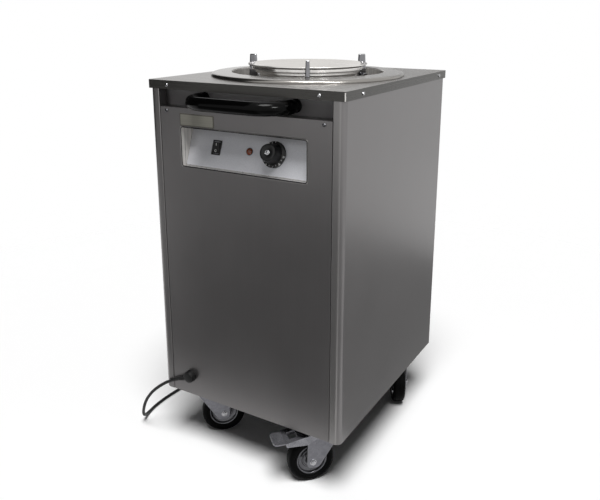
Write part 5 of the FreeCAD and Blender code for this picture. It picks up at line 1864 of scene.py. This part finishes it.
@dataclass
class Studio:
    """Pale floor, white surroundings, soft light and the camera, in metres but for the camera's place."""

    camera_place: Point = (746.6, -1264.9, 959.9)
    yaw: float = 30.64
    pitch: float = 14.78
    lens: float = 40.49
    sensor: float = 36.0
    shift: float = -0.1
    floor_reach: float = 6.0
    floor_fade: Flat = (0.7, 2.2)
    floor_colour: str = "#fbfbfb"
    floor_roughness: float = 0.9
    key_way: Point = (-0.20, 0.31, -0.93)
    key_energy: float = 3.25
    key_angle: float = 27.0
    softbox_place: Point = (2.3, -1.3, 2.1)
    softbox_aim: Point = (0.0, 0.0, 0.6)
    softbox_size: Flat = (0.7, 0.35)
    softbox_energy: float = 38.0
    dim: float = 0.07

    WHITE = (1.0, 1.0, 1.0, 1.0)
    # Three lie before the front, the right corner and the right side; three stand before, left and behind
    CARDS = (
        Card("front_floor_flag", "#797979",
             lying((-3.0, -3.3), (0.3, -2.9), (0.16, -0.42), (-0.6, -0.46))),
        Card("front_flag", "#c0c0c0", standing((-3.2, -1.6), (-0.4, -3.6), 1.5), 0.78),
        Card("right_floor_flag", "#b4b4b4",
             lying((0.32, -0.42), (0.32, -2.9), (2.6, -2.2), (1.3, -0.25))),
        Card("side_floor_flag", "#9c9c9c",
             lying((0.26, -0.05), (0.95, 0.15), (1.3, 1.45), (0.26, 1.2))),
        Card("left_flag", "#545454",
             ((-2.2, -2.6, 0.2), (-2.2, 1.4, 0.2), (-1.4, 1.2, 4.0), (-1.4, -2.4, 4.0))),
        Card("back_flag", "#dcdcdc", standing((-1.25, 3.0), (0.9, 3.0), 2.5), 0.5))

    def floor(self) -> None:
        """Lays the floor: pale near the part, fading to the white surroundings far from it."""
        bm = bmesh.new()
        bmesh.ops.create_circle(bm, cap_ends=True, radius=self.floor_reach, segments=64)
        mesh = bpy.data.meshes.new("studio_floor")
        bm.to_mesh(mesh)
        bm.free()
        material, tree, shader = blank_material("pale_studio_floor")
        set_inputs(tree, shader, {"Base Color": linear(self.floor_colour), "Specular IOR Level": 0.0,
                                  "Roughness": self.floor_roughness})
        place = add_node(tree, "ShaderNodeTexCoord").outputs["Object"]
        reach = add_node(tree, "ShaderNodeVectorMath", {0: place}, operation="LENGTH")
        near, far = self.floor_fade
        fade = add_node(tree, "ShaderNodeMapRange",
                        {"Value": reach.outputs["Value"], "From Min": near, "From Max": far,
                         "To Min": 0.0, "To Max": 1.0}, interpolation_type="SMOOTHSTEP")
        clear = add_node(tree, "ShaderNodeBsdfTransparent")
        mixed = add_node(tree, "ShaderNodeMixShader",
                         {0: fade.outputs[0], 1: shader.outputs[0], 2: clear.outputs[0]})
        set_inputs(tree, tree.nodes["Material Output"], {"Surface": mixed.outputs[0]})
        mesh.materials.append(material)
        scene_object("studio_floor", mesh)

    def surroundings(self) -> None:
        """Makes the world white to the eye and in reflections, and dimmer as a light."""
        world = bpy.data.worlds.new("white_surroundings")
        world.use_nodes = True
        bpy.context.scene.world = world
        tree = world.node_tree
        tree.nodes.clear()
        ray = add_node(tree, "ShaderNodeLightPath")
        seen = add_node(tree, "ShaderNodeMath",
                        {0: ray.outputs["Is Camera Ray"], 1: ray.outputs["Is Glossy Ray"]},
                        operation="MAXIMUM")
        shown = add_node(tree, "ShaderNodeMath",
                         {0: seen.outputs[0], 1: ray.outputs["Is Transmission Ray"]}, operation="MAXIMUM")
        dim = add_node(tree, "ShaderNodeBackground", {"Color": self.WHITE, "Strength": self.dim})
        white = add_node(tree, "ShaderNodeBackground", {"Color": self.WHITE, "Strength": 1.0})
        mixed = add_node(tree, "ShaderNodeMixShader",
                         {0: shown.outputs[0], 1: dim.outputs[0], 2: white.outputs[0]})
        add_node(tree, "ShaderNodeOutputWorld", {"Surface": mixed.outputs[0]})

    def lights(self) -> None:
        """Hangs a broad key light high in front, and at the right a small softbox for highlights only."""
        sun = bpy.data.lights.new("soft_key", "SUN")
        sun.energy = self.key_energy
        sun.angle = math.radians(self.key_angle)
        lamp = scene_object("soft_key", sun)
        lamp.rotation_euler = Vector(self.key_way).to_track_quat("-Z", "Y").to_euler()
        area = bpy.data.lights.new("front_softbox", "AREA")
        area.shape = "RECTANGLE"
        area.size, area.size_y = self.softbox_size
        area.energy = self.softbox_energy
        box = scene_object("front_softbox", area)
        box.location = self.softbox_place
        box.visible_diffuse = False
        aim = Vector(self.softbox_aim) - box.location
        box.rotation_euler = aim.to_track_quat("-Z", "Y").to_euler()

    def camera(self) -> None:
        """Sets the camera where the photograph was taken from."""
        data = bpy.data.cameras.new("camera")
        data.sensor_width = self.sensor
        data.lens = self.lens
        data.shift_y = self.shift
        camera = scene_object("camera", data)
        camera.location = Vector(self.camera_place) * MM
        yaw, pitch = math.radians(self.yaw), math.radians(self.pitch)
        level = math.cos(pitch)
        look = Vector((-math.sin(yaw) * level, math.cos(yaw) * level, -math.sin(pitch)))
        camera.rotation_euler = look.to_track_quat("-Z", "Y").to_euler()
        bpy.context.scene.camera = camera

    def build(self) -> None:
        """Makes the whole studio."""
        self.floor()
        for card in self.CARDS:
            card.build()
        self.surroundings()
        self.lights()
        self.camera()
        bpy.context.scene.view_settings.view_transform = "Standard"


def main() -> None:
    """Builds the studio, then every sub-assembly in order."""
    logging.basicConfig(level=logging.INFO, format="%(name)s: %(message)s")
    Studio().build()
    CordSet().build()
    Cabinet().build()
    Handle().build()
    Controls().build()
    Well().build()
    Carrier().build()
    for number, angle in enumerate((180.0, 60.0, -60.0), start=1):
        GuidePost(number, angle).build()
    CasterSet().build()


if __name__ == "__main__":
    main()
